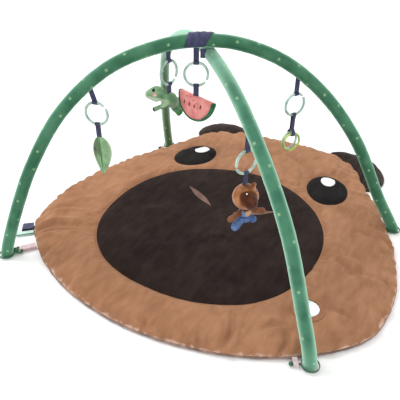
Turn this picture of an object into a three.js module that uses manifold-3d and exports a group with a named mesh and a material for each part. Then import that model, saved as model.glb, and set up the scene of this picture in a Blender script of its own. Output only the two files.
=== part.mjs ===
// Padded baby play mat in the shape of a plain animal face, with two crossed padded arches that
// stand at its edge and carry hanging toys.
// Millimetres. X runs across the face, Y from chin to forehead, Z up. The pieces are laid out about
// the floor point between the four feet, and at the end the model is moved so that the middle of
// its footprint is the origin.

import * as THREE from 'three';
import Module from 'manifold-3d';
import { mergeVertices } from 'three/addons/utils/BufferGeometryUtils.js';

const solids = await Module();
solids.setup();

// Driving dimensions

const TOUCH = 0.4;                  // gap kept between pieces that touch

// Half of the mat's cut outline, from chin to forehead
const OUTLINE = [
  { across: 170, along: -306 },
  { across: 285, along: -260 },
  { across: 375, along: -200 },
  { across: 440, along: -125 },
  { across: 466, along: 5 },
  { across: 456, along: 110 },
  { across: 430, along: 210 },
  { across: 372, along: 350 },
  { across: 322, along: 440 },
  { across: 272, along: 540 },
  { across: 205, along: 605 },
  { across: 100, along: 633 },
];
const CHIN = -329;
const FOREHEAD = 640;
const OUTLINE_TURN = THREE.MathUtils.degToRad(1.8);    // the cloth lies a little skewed
const OUTLINE_STEPS = 144;

const BACKING_THICK = 1.4;
// The filled top from its bottom seam, over the puffed side, to the flat middle
const PAD_PROFILE = [
  { inset: 4, height: BACKING_THICK + 0.3 },
  { inset: 0, height: 4.5 },
  { inset: -1.5, height: 9 },
  { inset: 1, height: 14 },
  { inset: 9, height: 18.5 },
  { inset: 23, height: 21.6 },
  { inset: 44, height: 23 },
];
const PAD_TOP = 23;
const RIM_GATHERS = { count: 18, depth: 1.2 };          // soft waves along the sewn side
// Folds that run in from the rim: where each meets the outline, and how deep it is
const RIM_FOLDS = [
  { x: -410, y: -190, deep: 3 }, { x: -372, y: -222, deep: 2.4 }, { x: -187, y: -310, deep: 3.4 },
  { x: -150, y: -318, deep: 3.8 }, { x: -45, y: -330, deep: 2.4 }, { x: 143, y: -305, deep: 3.2 },
  { x: 186, y: -296, deep: 5 }, { x: 296, y: -240, deep: 3.2 }, { x: 455, y: 30, deep: 3.2 },
  { x: 437, y: 172, deep: 2.6 }, { x: 424, y: 250, deep: 2.6 },
];
const FOLD_REACH = 15;

const PANEL_THICK = 1.2;
const PANEL_BASE = PAD_TOP + TOUCH;

const MUZZLE = { x: -10, y: 65, halfWide: 291, halfTall: 289, squareBelow: 2.28, squareAbove: 1.96 };
const EYES = { middle: -7.5, apart: 221.5, y: 373, halfWide: 59, halfTall: 78, lean: 18 };
const EYE_LIGHTS = { apart: 214, y: 407, halfWide: 21, halfTall: 28, lean: 18 };
const NOSTRILS = { middle: -9, outer: { x: 137, y: 184 }, inner: { x: 32, y: 120 }, halfWide: 10 };
const MIRROR = { x: 309, y: -118, radius: 24, thick: 1, ringInner: 24.6, ringOuter: 37, ringHigh: 3 };
const EAR_GAP = 3.4;
// The left ear is sewn in over a shorter stretch of the outline than the right one
const EARS = {
  tall: 87, thick: 17, stations: 15,
  left: { from: { x: -150, y: 626 }, to: { x: -290, y: 528 } },
  right: { from: { x: 150, y: 626 }, to: { x: 306, y: 449 } },
};

const SLEEVE_RADIUS = 14;
const SLEEVE_SIDES = 10;
const SLEEVE_STEPS = 46;
// Each arch: its two feet on the floor, how far its top leans out of the line of the feet, and its
// line as distance along that line and height
const ARCH_OVER = {
  from: { x: -403, y: -281 },
  to: { x: 422, y: 292 },
  lean: 42,
  line: [
    { along: 0, height: 0 },
    { along: 14, height: 44 },
    { along: 57, height: 150 },
    { along: 102, height: 242 },
    { along: 183, height: 361 },
    { along: 292, height: 451 },
    { along: 405, height: 492 },
    { along: 482, height: 500 },
    { along: 562, height: 492 },
    { along: 665, height: 452 },
    { along: 763, height: 376 },
    { along: 856, height: 262 },
    { along: 944, height: 100 },
    { along: 988, height: 28 },
    { along: 1004, height: 0 },
  ],
};
const ARCH_UNDER = {
  from: { x: 355, y: -237 },
  to: { x: -362, y: 424 },
  lean: 44,
  line: [
    { along: 0, height: 0 },
    { along: 12, height: 45 },
    { along: 37, height: 102 },
    { along: 104, height: 242 },
    { along: 199, height: 341 },
    { along: 330, height: 427 },
    { along: 462, height: 469 },
    { along: 560, height: 476 },
    { along: 678, height: 456 },
    { along: 785, height: 411 },
    { along: 872, height: 350 },
    { along: 926, height: 250 },
    { along: 966, height: 130 },
    { along: 977, height: 50 },
    { along: 975, height: 0 },
  ],
};

// The cover is wrapped askew: its ends move along the arch by the skew between its top and each side
const COVER = { from: 457, to: 506, fromSkew: 10, toSkew: 17, clear: 0.9, thick: 1.8, half: 122 };
const COVER_TAB = { x: -28, y: 34, top: 482, bottom: 463, wide: 12, thick: 2.4 };

const RING = { radius: 25.4, bar: 2.6, gap: 11, sides: 6, steps: 28 };
const RIBBON = { wide: 12, thick: 2.4, holeRadius: 3.5, wall: 1.2 };

// Hanging toys: where each hangs, the height of its open ring, the turn of the ring about the
// plumb line, where the ring is open, and the heights between which its lower ribbon runs
const HANGERS = [
  { name: 'leaf', arch: ARCH_OVER, x: -216.5, y: -103.7, ring: 349, turn: 15, open: 38, foot: 293 },
  { name: 'lizard', arch: ARCH_OVER, x: -87.5, y: -8.2, ring: 434, turn: 80, open: 320, foot: 389 },
  { name: 'melon', arch: ARCH_OVER, x: -40.5, y: 26.8, ring: 428, turn: 28, open: 325, foot: 374 },
  { name: 'plush', arch: ARCH_UNDER, x: 129, y: -73, ring: 307, turn: 62, open: 200, foot: 254 },
  { name: 'teether', arch: ARCH_OVER, x: 147, y: 155, ring: 352, turn: 55, open: 40, foot: 281 },
];

const LEAF = { top: 292, long: 101, halfWide: 22.5, fold: 24, thick: 4.5, turn: 22 };
const MELON = { x: -38.5, y: 28, z: 379.3, halfWide: 53, deep: 51.5, thick: 14, tilt: 1, lean: -10, turn: -20 };
const LIZARD = { x: -87.5, y: -8.2, z: 370, heading: 208 };
const PLUSH = { x: 131.6, y: -70.8, z: 224.5, head: 28.6, facing: 57 };
const TEETHERS = { z: 259.5, radius: 21.5, bar: 2.7, apart: 4.6, splay: 5 };

// Colours

const COLOURS = {
  tan: 0xb28262, brown: 0x302421, mauve: 0x73584f, black: 0x2a2826, white: 0xf2f0ee,
  backing: 0x6a5a52, green: 0x467d5f, navy: 0x3a3c58, mint: 0xbfe0d2, tape: 0xd9cdc9,
  darkGreen: 0x1f4a30, leaf: 0x8fb488, lizard: 0x6f9a6c, melon: 0xe08f8c, rind: 0x3c7d55,
  fur: 0x9a6a46, muzzle: 0x5a3526, denim: 0x7482a8, lime: 0xa9c45a, mirror: 0xdfe4e6,
};

function cloth(colour) {
  return new THREE.MeshStandardMaterial({ color: colour, roughness: 0.95, metalness: 0 });
}

function plastic(colour) {
  return new THREE.MeshStandardMaterial({ color: colour, roughness: 0.3, metalness: 0 });
}

const model = new THREE.Group();

function add(name, geometry, material, parent = model) {
  const mesh = new THREE.Mesh(geometry, material);
  mesh.name = name;
  parent.add(mesh);
  return mesh;
}

// Shape helpers

// A closed body from corner points and triangles, turned so that its faces point out
function bodyFrom(corners, triangles) {
  let volume = 0;
  for (const [a, b, c] of triangles) {
    volume += corners[a].dot(new THREE.Vector3().crossVectors(corners[b], corners[c]));
  }
  const order = volume < 0 ? triangles.map(([a, b, c]) => [a, c, b]) : triangles;
  const geometry = new THREE.BufferGeometry();
  geometry.setAttribute('position', new THREE.Float32BufferAttribute(
    corners.flatMap((corner) => corner.toArray()), 3));
  geometry.setIndex(order.flat());
  return geometry;
}

// A body skinned over rings of equal count, closed by a fan at each end
function skin(rings) {
  const count = rings[0].length;
  const corners = rings.flat();
  const triangles = [];
  for (let ring = 0; ring + 1 < rings.length; ring += 1) {
    for (let step = 0; step < count; step += 1) {
      const here = ring * count + step;
      const beside = ring * count + (step + 1) % count;
      triangles.push([here, beside, here + count], [beside, beside + count, here + count]);
    }
  }
  for (const [ring, flip] of [[0, false], [rings.length - 1, true]]) {
    const middle = new THREE.Vector3();
    rings[ring].forEach((corner) => middle.addScaledVector(corner, 1 / count));
    corners.push(middle);
    for (let step = 0; step < count; step += 1) {
      const here = ring * count + step;
      const beside = ring * count + (step + 1) % count;
      const tip = corners.length - 1;
      triangles.push(flip ? [here, beside, tip] : [beside, here, tip]);
    }
  }
  return bodyFrom(corners, triangles);
}

// An oval ring of corners round a point
function ovalRing(centre, sideways, upward, halfWide, halfTall, sides, start = 0) {
  const ring = [];
  for (let step = 0; step < sides; step += 1) {
    const angle = start + (2 * Math.PI * step) / sides;
    ring.push(centre.clone()
      .addScaledVector(sideways, halfWide * Math.cos(angle))
      .addScaledVector(upward, halfTall * Math.sin(angle)));
  }
  return ring;
}

// A stuffed limb or body: rings of stated size along a line of stations, wide along the side given
// or else level and square to the line
function stuffed(stations, sides, givenSide = null) {
  const places = stations.map((station) => new THREE.Vector3(station.x, station.y, station.z));
  const rings = stations.map((station, index) => {
    const before = places[Math.max(index - 1, 0)];
    const after = places[Math.min(index + 1, places.length - 1)];
    const forward = after.clone().sub(before).normalize();
    const side = givenSide ?? new THREE.Vector3(-forward.y, forward.x, 0).normalize();
    const upward = new THREE.Vector3().crossVectors(forward, side).normalize();
    return ovalRing(places[index], side, upward, station.wide, station.tall, sides);
  });
  return skin(rings);
}

function ball(x, y, z, halfX, halfY, halfZ, around = 12, down = 8) {
  const geometry = new THREE.SphereGeometry(1, around, down);
  geometry.scale(halfX, halfY, halfZ);
  geometry.translate(x, y, z);
  return geometry;
}

function toSolid(geometry) {
  const bare = geometry.clone();
  bare.deleteAttribute('normal');
  bare.deleteAttribute('uv');
  const merged = mergeVertices(bare, 1e-4);
  return new solids.Manifold(new solids.Mesh({
    numProp: 3,
    vertProperties: new Float32Array(merged.getAttribute('position').array),
    triVerts: new Uint32Array(merged.getIndex().array),
  }));
}

function fromSolid(solid) {
  const mesh = solid.getMesh();
  const geometry = new THREE.BufferGeometry();
  geometry.setAttribute('position', new THREE.Float32BufferAttribute(mesh.vertProperties, 3));
  geometry.setIndex(Array.from(mesh.triVerts));
  return geometry;
}

function joined(...geometries) {
  return fromSolid(geometries.map(toSolid).reduce((whole, piece) => whole.add(piece)));
}

function cutAway(geometry, tool) {
  return fromSolid(toSolid(geometry).subtract(toSolid(tool)));
}

function upright(shape, thick) {
  return new THREE.ExtrudeGeometry(shape, { depth: thick, bevelEnabled: false, curveSegments: 6 });
}

// The mat

function turned(x, y, angle) {
  return new THREE.Vector2(x, y).rotateAround(new THREE.Vector2(0, 0), angle);
}

const rightSide = OUTLINE.map(({ across, along }) => [across, along]);
const leftSide = OUTLINE.map(({ across, along }) => [-across, along]).reverse();
const outlinePlaces = [[0, CHIN], ...rightSide, [0, FOREHEAD], ...leftSide]
  .map(([x, y]) => turned(x, y, OUTLINE_TURN))
  .map((place) => new THREE.Vector3(place.x, place.y, 0));
const outline = new THREE.CatmullRomCurve3(outlinePlaces, true, 'centripetal');

// A point of the outline at a share of its length, moved inwards by the inset
function onOutline(share, inset, height) {
  const wrapped = ((share % 1) + 1) % 1;
  const along = outline.getTangentAt(wrapped);
  const inwards = new THREE.Vector3(-along.y, along.x, 0);
  return outline.getPointAt(wrapped).addScaledVector(inwards, inset).setZ(height);
}

function outlineShareNear(x, y) {
  const target = new THREE.Vector3(x, y, 0);
  let best = 0;
  for (let step = 0; step < 720; step += 1) {
    const here = outline.getPointAt(step / 720).distanceTo(target);
    if (here < outline.getPointAt(best).distanceTo(target)) best = step / 720;
  }
  return best;
}

function matRing(inset, height, steps, gathers = 0, folding = 0) {
  const ring = [];
  for (let step = 0; step < steps; step += 1) {
    const wave = gathers * Math.cos((2 * Math.PI * RIM_GATHERS.count * step) / steps);
    const fold = folding * foldDepth(step / steps);
    ring.push(onOutline(step / steps, inset + wave + fold * 0.5, height - fold));
  }
  return ring;
}

// How deep the rim folds are at a share of the outline
function foldDepth(share) {
  const place = outline.getPointAt(share);
  return RIM_FOLDS.reduce((deep, fold) => {
    const away = Math.hypot(place.x - fold.x, place.y - fold.y) / FOLD_REACH;
    return deep + fold.deep * Math.exp(-away * away);
  }, 0);
}

const padRings = PAD_PROFILE.map(({ inset, height }) => {
  const gathers = inset < 5 && height > 3 ? RIM_GATHERS.depth : 0;
  const folding = Math.max(0, Math.sin((Math.PI * (height - BACKING_THICK)) / (PAD_TOP - BACKING_THICK)));
  return matRing(inset, height, OUTLINE_STEPS, gathers, height > 5 ? folding : 0);
});
add('mat_pad', skin(padRings), cloth(COLOURS.tan));
add('mat_backing', skin([matRing(3, 0, 72), matRing(3, BACKING_THICK, 72)]), cloth(COLOURS.backing));

// Flat panels sewn on the mat

// Outline of a rounded patch whose corners grow squarer with the power
function roundPatch(x, y, halfWide, halfTall, lean, powerBelow, powerAbove, steps) {
  const places = [];
  for (let step = 0; step < steps; step += 1) {
    const angle = (2 * Math.PI * step) / steps;
    const power = Math.sin(angle) < 0 ? powerBelow : powerAbove;
    const across = halfWide * Math.sign(Math.cos(angle)) * Math.abs(Math.cos(angle)) ** (2 / power);
    const along = halfTall * Math.sign(Math.sin(angle)) * Math.abs(Math.sin(angle)) ** (2 / power);
    const place = turned(across, along, THREE.MathUtils.degToRad(lean));
    places.push(new THREE.Vector2(x + place.x, y + place.y));
  }
  return new THREE.Shape(places);
}

// Pointed lens between two points
function lensPatch(from, to, halfWide, steps) {
  const start = new THREE.Vector2(from.x, from.y);
  const run = new THREE.Vector2(to.x, to.y).sub(start);
  const across = new THREE.Vector2(-run.y, run.x).normalize();
  const places = [];
  for (let step = 0; step < 2 * steps; step += 1) {
    const share = step < steps ? step / steps : 2 - step / steps;
    const width = (step < steps ? 1 : -1) * halfWide * Math.sin(Math.PI * share);
    places.push(start.clone().addScaledVector(run, share).addScaledVector(across, width));
  }
  return new THREE.Shape(places);
}

function panel(name, shape, base, colour, thick = PANEL_THICK) {
  add(name, upright(shape, thick), cloth(colour)).position.z = base;
}

const onMuzzle = PANEL_BASE + PANEL_THICK + TOUCH;
panel('muzzle', roundPatch(MUZZLE.x, MUZZLE.y, MUZZLE.halfWide, MUZZLE.halfTall, 0,
  MUZZLE.squareBelow, MUZZLE.squareAbove, 60), PANEL_BASE, COLOURS.brown);

for (const [side, sign] of [['left', -1], ['right', 1]]) {
  const eyeX = EYES.middle + sign * EYES.apart;
  panel(`eye_${side}`, roundPatch(eyeX, EYES.y, EYES.halfWide, EYES.halfTall, sign * EYES.lean,
    2, 2, 28), PANEL_BASE, COLOURS.black);
  const lightX = EYES.middle + sign * EYE_LIGHTS.apart;
  panel(`eye_light_${side}`, roundPatch(lightX, EYE_LIGHTS.y, EYE_LIGHTS.halfWide,
    EYE_LIGHTS.halfTall, sign * EYE_LIGHTS.lean, 2, 2, 18), onMuzzle, COLOURS.white);
  const outer = { x: NOSTRILS.middle + sign * NOSTRILS.outer.x, y: NOSTRILS.outer.y };
  const inner = { x: NOSTRILS.middle + sign * NOSTRILS.inner.x, y: NOSTRILS.inner.y };
  panel(`nostril_${side}`, lensPatch(outer, inner, NOSTRILS.halfWide, 9), onMuzzle, COLOURS.mauve);
}

// Small round mirror in a padded ring stitched to the cheek
panel('mirror', roundPatch(MIRROR.x, MIRROR.y, MIRROR.radius, MIRROR.radius, 0, 2, 2, 28),
  PANEL_BASE, COLOURS.mirror, MIRROR.thick);
const mirrorRingProfile = [
  [MIRROR.ringInner, 0], [MIRROR.ringOuter, 0], [MIRROR.ringOuter, 0.8], [34, MIRROR.ringHigh - 0.5],
  [31.5, 1.6], [28, MIRROR.ringHigh], [25.4, 2.2], [MIRROR.ringInner, 1], [MIRROR.ringInner, 0],
].map(([radius, height]) => new THREE.Vector2(radius, height));
const mirrorRing = add('mirror_ring', new THREE.LatheGeometry(mirrorRingProfile, 32), cloth(COLOURS.tan));
mirrorRing.rotation.x = Math.PI / 2;
mirrorRing.position.set(MIRROR.x, MIRROR.y, PANEL_BASE);

// Padded ears, thin at the seam and full near the rim
const EAR_SECTION = [
  { out: 0, up: 0 }, { out: 0.5, up: 0 }, { out: 0.94, up: 0 }, { out: 1, up: 0.28 },
  { out: 0.96, up: 0.62 }, { out: 0.82, up: 0.92 }, { out: 0.6, up: 1 }, { out: 0.32, up: 0.8 },
  { out: 0.1, up: 0.42 }, { out: 0, up: 0.3 },
];

for (const side of ['left', 'right']) {
  const { from, to } = EARS[side];
  const first = outlineShareNear(from.x, from.y);
  const last = outlineShareNear(to.x, to.y);
  const rings = [];
  for (let station = 0; station < EARS.stations; station += 1) {
    const place = -0.965 + (1.93 * station) / (EARS.stations - 1);
    const round = Math.sqrt(1 - place * place);
    const share = first + ((last - first) * (place + 1)) / 2;
    const thick = EARS.thick * (0.4 + 0.6 * round);
    rings.push(EAR_SECTION.map(({ out, up }) => (
      onOutline(share, -EAR_GAP - out * EARS.tall * round, up * thick))));
  }
  add(`ear_${side}`, skin(rings), cloth(COLOURS.brown));
}

// The arches

// The arch's centre line, from foot to foot
function archCurve(arch) {
  const from = new THREE.Vector3(arch.from.x, arch.from.y, 0);
  const run = new THREE.Vector3(arch.to.x, arch.to.y, 0).sub(from).normalize();
  const aside = new THREE.Vector3(-run.y, run.x, 0);
  const top = Math.max(...arch.line.map(({ height }) => height));
  const places = arch.line.map(({ along, height }) => from.clone()
    .addScaledVector(run, along)
    .addScaledVector(aside, (arch.lean * height) / top)
    .setZ(height));
  return { curve: new THREE.CatmullRomCurve3(places, false, 'centripetal'), run, aside };
}

// The padded sleeve: round, with a softly closed end that is flat on the floor
function sleeve(arch, extra = 0) {
  const { curve, run, aside } = archCurve(arch);
  const radius = SLEEVE_RADIUS + extra;
  const level = [{ height: 0, radius: radius - 3.5 }, { height: 3, radius: radius - 0.8 }];
  const rings = [];
  for (let step = 0; step <= SLEEVE_STEPS; step += 1) {
    const share = step / SLEEVE_STEPS;
    const place = curve.getPointAt(share);
    const forward = curve.getTangentAt(share);
    const across = new THREE.Vector3().crossVectors(forward, aside).normalize();
    const side = new THREE.Vector3().crossVectors(across, forward).normalize();
    const atEnd = step === 0 || step === SLEEVE_STEPS;
    if (!atEnd) {
      rings.push(ovalRing(place, side, across, radius, radius, SLEEVE_SIDES));
      continue;
    }
    const out = step === 0 ? run.clone().negate() : run.clone();
    const inner = step === 0 ? out.clone().negate() : out;
    const flat = level.map((ring) => ovalRing(
      place.clone().setZ(ring.height), aside, inner, ring.radius, ring.radius, SLEEVE_SIDES));
    if (step === 0) rings.push(flat[0], flat[1]);
    else rings.push(flat[1], flat[0]);
  }
  return skin(rings);
}

add('arch_over', sleeve(ARCH_OVER), cloth(COLOURS.green));
add('arch_under', sleeve(ARCH_UNDER), cloth(COLOURS.green));

// Cloth cover wrapped over the crossing: an open sleeve round the upper arch
function crossingCover() {
  const { curve, aside } = archCurve(ARCH_OVER);
  const rings = [];
  const steps = 8;
  for (let station = 0; station <= 5; station += 1) {
    const inner = [];
    const outer = [];
    for (let step = 0; step <= steps; step += 1) {
      const turn = (2 * step) / steps - 1;
      const start = COVER.from + COVER.fromSkew * turn;
      const end = COVER.to + COVER.toSkew * turn;
      // along is measured on the floor line, so the matching place is found by its reach
      const share = shareAtReach(curve, ARCH_OVER, start + ((end - start) * station) / 5);
      const place = curve.getPointAt(share);
      const forward = curve.getTangentAt(share);
      const across = new THREE.Vector3().crossVectors(forward, aside).normalize();
      const side = new THREE.Vector3().crossVectors(across, forward).normalize();
      const up = across.z > 0 ? across : across.clone().negate();
      const angle = THREE.MathUtils.degToRad(COVER.half * turn);
      const ray = up.clone().multiplyScalar(Math.cos(angle)).addScaledVector(side, Math.sin(angle));
      inner.push(place.clone().addScaledVector(ray, SLEEVE_RADIUS + COVER.clear));
      outer.push(place.clone().addScaledVector(ray, SLEEVE_RADIUS + COVER.clear + COVER.thick));
    }
    rings.push([...outer, ...inner.reverse()]);
  }
  return openBand(rings);
}

function shareAtReach(curve, arch, along) {
  const from = new THREE.Vector3(arch.from.x, arch.from.y, 0);
  const run = new THREE.Vector3(arch.to.x, arch.to.y, 0).sub(from).normalize();
  let best = 0;
  for (let step = 0; step <= 600; step += 1) {
    const reach = (share) => Math.abs(curve.getPointAt(share).sub(from).dot(run) - along);
    if (reach(step / 600) < reach(best)) best = step / 600;
  }
  return best;
}

// A body skinned over C-shaped rings, whose ends are closed strip by strip
function openBand(rings) {
  const count = rings[0].length;
  const corners = rings.flat();
  const triangles = [];
  for (let ring = 0; ring + 1 < rings.length; ring += 1) {
    for (let step = 0; step < count; step += 1) {
      const here = ring * count + step;
      const beside = ring * count + (step + 1) % count;
      triangles.push([here, beside, here + count], [beside, beside + count, here + count]);
    }
  }
  for (const [ring, flip] of [[0, false], [rings.length - 1, true]]) {
    for (let step = 0; step + 1 < count / 2; step += 1) {
      const a = ring * count + step;
      const b = a + 1;
      const c = ring * count + (count - 2 - step);
      const d = ring * count + (count - 1 - step);
      triangles.push(...(flip ? [[a, b, c], [a, c, d]] : [[a, c, b], [a, d, c]]));
    }
  }
  return bodyFrom(corners, triangles);
}

add('crossing_cover', crossingCover(), cloth(COLOURS.navy));

// The closing tab that hangs from the cover beside the lower arch
const tabShape = new THREE.Shape([
  new THREE.Vector2(-COVER_TAB.wide / 2, COVER_TAB.bottom + 2),
  new THREE.Vector2(-COVER_TAB.wide / 2 + 2, COVER_TAB.bottom),
  new THREE.Vector2(COVER_TAB.wide / 2 - 2, COVER_TAB.bottom),
  new THREE.Vector2(COVER_TAB.wide / 2, COVER_TAB.bottom + 2),
  new THREE.Vector2(COVER_TAB.wide / 2, COVER_TAB.top),
  new THREE.Vector2(-COVER_TAB.wide / 2, COVER_TAB.top),
]);

// Stands a drawing up: its x runs level at the turn, its y is height
function stoodUp(geometry, x, y, turn) {
  geometry.rotateX(Math.PI / 2);
  geometry.rotateZ(THREE.MathUtils.degToRad(turn));
  geometry.translate(x, y, 0);
  return geometry;
}

const fatOver = sleeve(ARCH_OVER, TOUCH + 0.1);
const fatUnder = sleeve(ARCH_UNDER, TOUCH + 0.1);

const tabBody = upright(tabShape, COVER_TAB.thick);
tabBody.translate(0, 0, -COVER_TAB.thick / 2);
add('crossing_tab', cutAway(cutAway(stoodUp(tabBody, COVER_TAB.x, COVER_TAB.y, 28), fatOver), fatUnder),
  cloth(COLOURS.navy));

// What hangs from the arches

// Side view of a ribbon folded round a ring's bar: a stem with an eye at one end
function ribbonShape(eyeHeight, endHeight) {
  const outer = RIBBON.holeRadius + RIBBON.wall;
  const half = RIBBON.thick / 2;
  const up = endHeight > eyeHeight ? 1 : -1;
  const neck = Math.asin(half / outer);
  const places = [new THREE.Vector2(half, endHeight), new THREE.Vector2(-half, endHeight)];
  const steps = 12;
  for (let step = 0; step <= steps; step += 1) {
    const angle = neck + ((2 * Math.PI - 2 * neck) * step) / steps;
    places.push(new THREE.Vector2(-outer * Math.sin(angle), eyeHeight + up * outer * Math.cos(angle)));
  }
  const shape = new THREE.Shape(places);
  const hole = new THREE.Path();
  hole.absarc(0, eyeHeight, RIBBON.holeRadius, 0, 2 * Math.PI, false);
  shape.holes.push(hole);
  return shape;
}

function ribbon(eyeHeight, endHeight, x, y, turn, wide = RIBBON.wide) {
  const geometry = upright(ribbonShape(eyeHeight, endHeight), wide);
  geometry.translate(0, 0, -wide / 2);
  return stoodUp(geometry, x, y, turn + 90);
}

// The open plastic ring, upright in a plane that holds the level direction of the turn
function openRing(height, x, y, turn, open) {
  const level = new THREE.Vector3(1, 0, 0).applyAxisAngle(
    new THREE.Vector3(0, 0, 1), THREE.MathUtils.degToRad(turn));
  const normal = new THREE.Vector3(-level.y, level.x, 0);
  const centre = new THREE.Vector3(x, y, height);
  const rings = [];
  for (let step = 0; step <= RING.steps; step += 1) {
    const angle = THREE.MathUtils.degToRad(open + RING.gap / 2 + ((360 - RING.gap) * step) / RING.steps);
    const outward = level.clone().multiplyScalar(Math.cos(angle)).setZ(Math.sin(angle));
    const place = centre.clone().addScaledVector(outward, RING.radius);
    rings.push(ovalRing(place, outward, normal, RING.bar, RING.bar, RING.sides));
  }
  return skin(rings);
}

// The space below the melon slice's slanted edge
function underSlant() {
  const space = new THREE.BoxGeometry(90, 90, 60);
  space.translate(0, 0, -30 + TOUCH);
  space.rotateY(THREE.MathUtils.degToRad(MELON.tilt));
  space.rotateX(THREE.MathUtils.degToRad(MELON.lean));
  space.rotateZ(THREE.MathUtils.degToRad(MELON.turn));
  space.translate(MELON.x, MELON.y, MELON.z);
  return space;
}

for (const hanger of HANGERS) {
  const { name, x, y, ring, turn, open, foot } = hanger;
  const topEye = ring + RING.radius - 0.35;
  const lowEye = ring - RING.radius + 0.35;
  const { curve } = archCurve(hanger.arch);
  let above = 0;
  for (let step = 0; step <= 400; step += 1) {
    const place = curve.getPointAt(step / 400);
    const near = Math.hypot(place.x - x, place.y - y);
    if (near < Math.hypot(curve.getPointAt(above).x - x, curve.getPointAt(above).y - y)) above = step / 400;
  }
  const sleeveHeight = curve.getPointAt(above).z;
  let upper = ribbon(topEye, sleeveHeight - 4, x, y, turn);
  upper = cutAway(upper, hanger.arch === ARCH_OVER ? fatOver : fatUnder);
  add(`${name}_tab`, upper, cloth(COLOURS.navy));
  add(`${name}_ring`, openRing(ring, x, y, turn, open), plastic(COLOURS.mint));
  if (name === 'teether') continue;
  let lower = ribbon(lowEye, foot, x, y, turn);
  if (name === 'melon') lower = cutAway(lower, underSlant());
  add(`${name}_ribbon`, lower, cloth(COLOURS.navy));
}

// Leaf, folded down its middle rib
const leafRows = 9;
const leafRings = [];
for (let row = 0; row <= leafRows; row += 1) {
  const share = 0.03 + (0.94 * row) / leafRows;
  const wide = LEAF.halfWide * Math.sin(Math.PI * share ** 0.8) ** 0.85;
  const back = wide * Math.tan(THREE.MathUtils.degToRad(LEAF.fold));
  const half = (LEAF.thick / 2) * (0.45 + 0.55 * Math.sin(Math.PI * share));
  const height = -LEAF.long * share;
  leafRings.push([
    [-wide, back - half * 0.5], [-wide * 0.5, back / 2 - half], [0, -half], [wide * 0.5, back / 2 - half],
    [wide, back - half * 0.5], [wide, back + half * 0.5], [wide * 0.5, back / 2 + half], [0, half * 1.4],
    [-wide * 0.5, back / 2 + half], [-wide, back + half * 0.5],
  ].map(([across, deep]) => new THREE.Vector3(across, deep, height)));
}
const leaf = add('leaf', skin(leafRings), cloth(COLOURS.leaf));
leaf.rotation.z = THREE.MathUtils.degToRad(LEAF.turn);
leaf.position.set(HANGERS[0].x, HANGERS[0].y, HANGERS[0].foot - TOUCH + LEAF.long * 0.03);

// Melon slice: half oval of flesh with a puffed rind round its curved edge
function onHalfOval(angle, out, deep) {
  const edge = new THREE.Vector3(-MELON.halfWide * Math.cos(angle), 0, -MELON.deep * Math.sin(angle));
  const outward = new THREE.Vector3(
    -MELON.deep * Math.cos(angle), 0, -MELON.halfWide * Math.sin(angle)).normalize();
  return edge.addScaledVector(outward, out).setY(deep);
}

const MELON_STEPS = 18;
const MELON_RIND = [
  { out: TOUCH, deep: -6.6 }, { out: 1.6, deep: -7.6 }, { out: 4, deep: -5.4 }, { out: 5.4, deep: 0 },
  { out: 4, deep: 5.4 }, { out: 1.6, deep: 7.6 }, { out: TOUCH, deep: 6.6 },
];
const melon = new THREE.Group();
melon.position.set(MELON.x, MELON.y, MELON.z);
melon.rotation.order = 'ZXY';
melon.rotation.set(THREE.MathUtils.degToRad(MELON.lean), THREE.MathUtils.degToRad(MELON.tilt),
  THREE.MathUtils.degToRad(MELON.turn));
model.add(melon);
const fleshPlaces = [];
const rindRings = [];
for (let step = 0; step <= MELON_STEPS; step += 1) {
  const angle = (Math.PI * step) / MELON_STEPS;
  const place = onHalfOval(angle, 0, 0);
  fleshPlaces.push(new THREE.Vector2(place.x, place.z));
  rindRings.push(MELON_RIND.map(({ out, deep }) => onHalfOval(angle, out, deep)));
}
const flesh = upright(new THREE.Shape(fleshPlaces), MELON.thick);
flesh.translate(0, 0, -MELON.thick / 2);
flesh.rotateX(Math.PI / 2);
add('melon_flesh', flesh, cloth(COLOURS.melon), melon);
add('melon_rind', skin(rindRings), cloth(COLOURS.rind), melon);

// Lizard: x runs from tail to nose, so its head points along the heading, and its body bends away
// behind the melon
const LIZARD_BODY = [
  { x: -46, y: -107, z: -53, wide: 1.5, tall: 1.5 },
  { x: -43, y: -104, z: -52, wide: 3.5, tall: 4 },
  { x: -36, y: -98, z: -49, wide: 7, tall: 7.5 },
  { x: -28, y: -91, z: -44.5, wide: 10.5, tall: 11.5 },
  { x: -19, y: -82, z: -38.5, wide: 12.5, tall: 14 },
  { x: -11, y: -71, z: -32.5, wide: 12, tall: 15 },
  { x: -5, y: -58, z: -25.5, wide: 11, tall: 15.5 },
  { x: -3, y: -44, z: -18.5, wide: 11, tall: 15.5 },
  { x: -3, y: -30, z: -11, wide: 12.5, tall: 16 },
  { x: -2, y: -16, z: -2, wide: 13, tall: 15.5 },
  { x: 4, y: -5, z: 5.5, wide: 12, tall: 13.2 },
  { x: 11, y: -2, z: 10, wide: 10.5, tall: 12 },
  { x: 19, y: -1, z: 14, wide: 12, tall: 15.5 },
  { x: 26.5, y: 0, z: 16, wide: 15.5, tall: 18 },
  { x: 35, y: 1, z: 16, wide: 15, tall: 16 },
  { x: 43.5, y: 1.5, z: 15.5, wide: 11.5, tall: 11.5 },
  { x: 50, y: 2, z: 15, wide: 7.5, tall: 7.5 },
  { x: 53.5, y: 2, z: 15, wide: 3.5, tall: 4 },
];

// Its short legs, from the body to the foot
const LIZARD_LEGS = [
  { from: [6, -4, -8], to: [38, 4, -20], radius: 7 },
  { from: [2, -12, -13], to: [22, -20, -25], radius: 6 },
  { from: [-4, -44, -30], to: [-23, -46, -49], radius: 8.5 },
  { from: [-18, -78, -42], to: [-30, -84, -50], radius: 7 },
];
const LEG_SIZES = [0.75, 1, 0.95, 1.1, 0.6];

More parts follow.
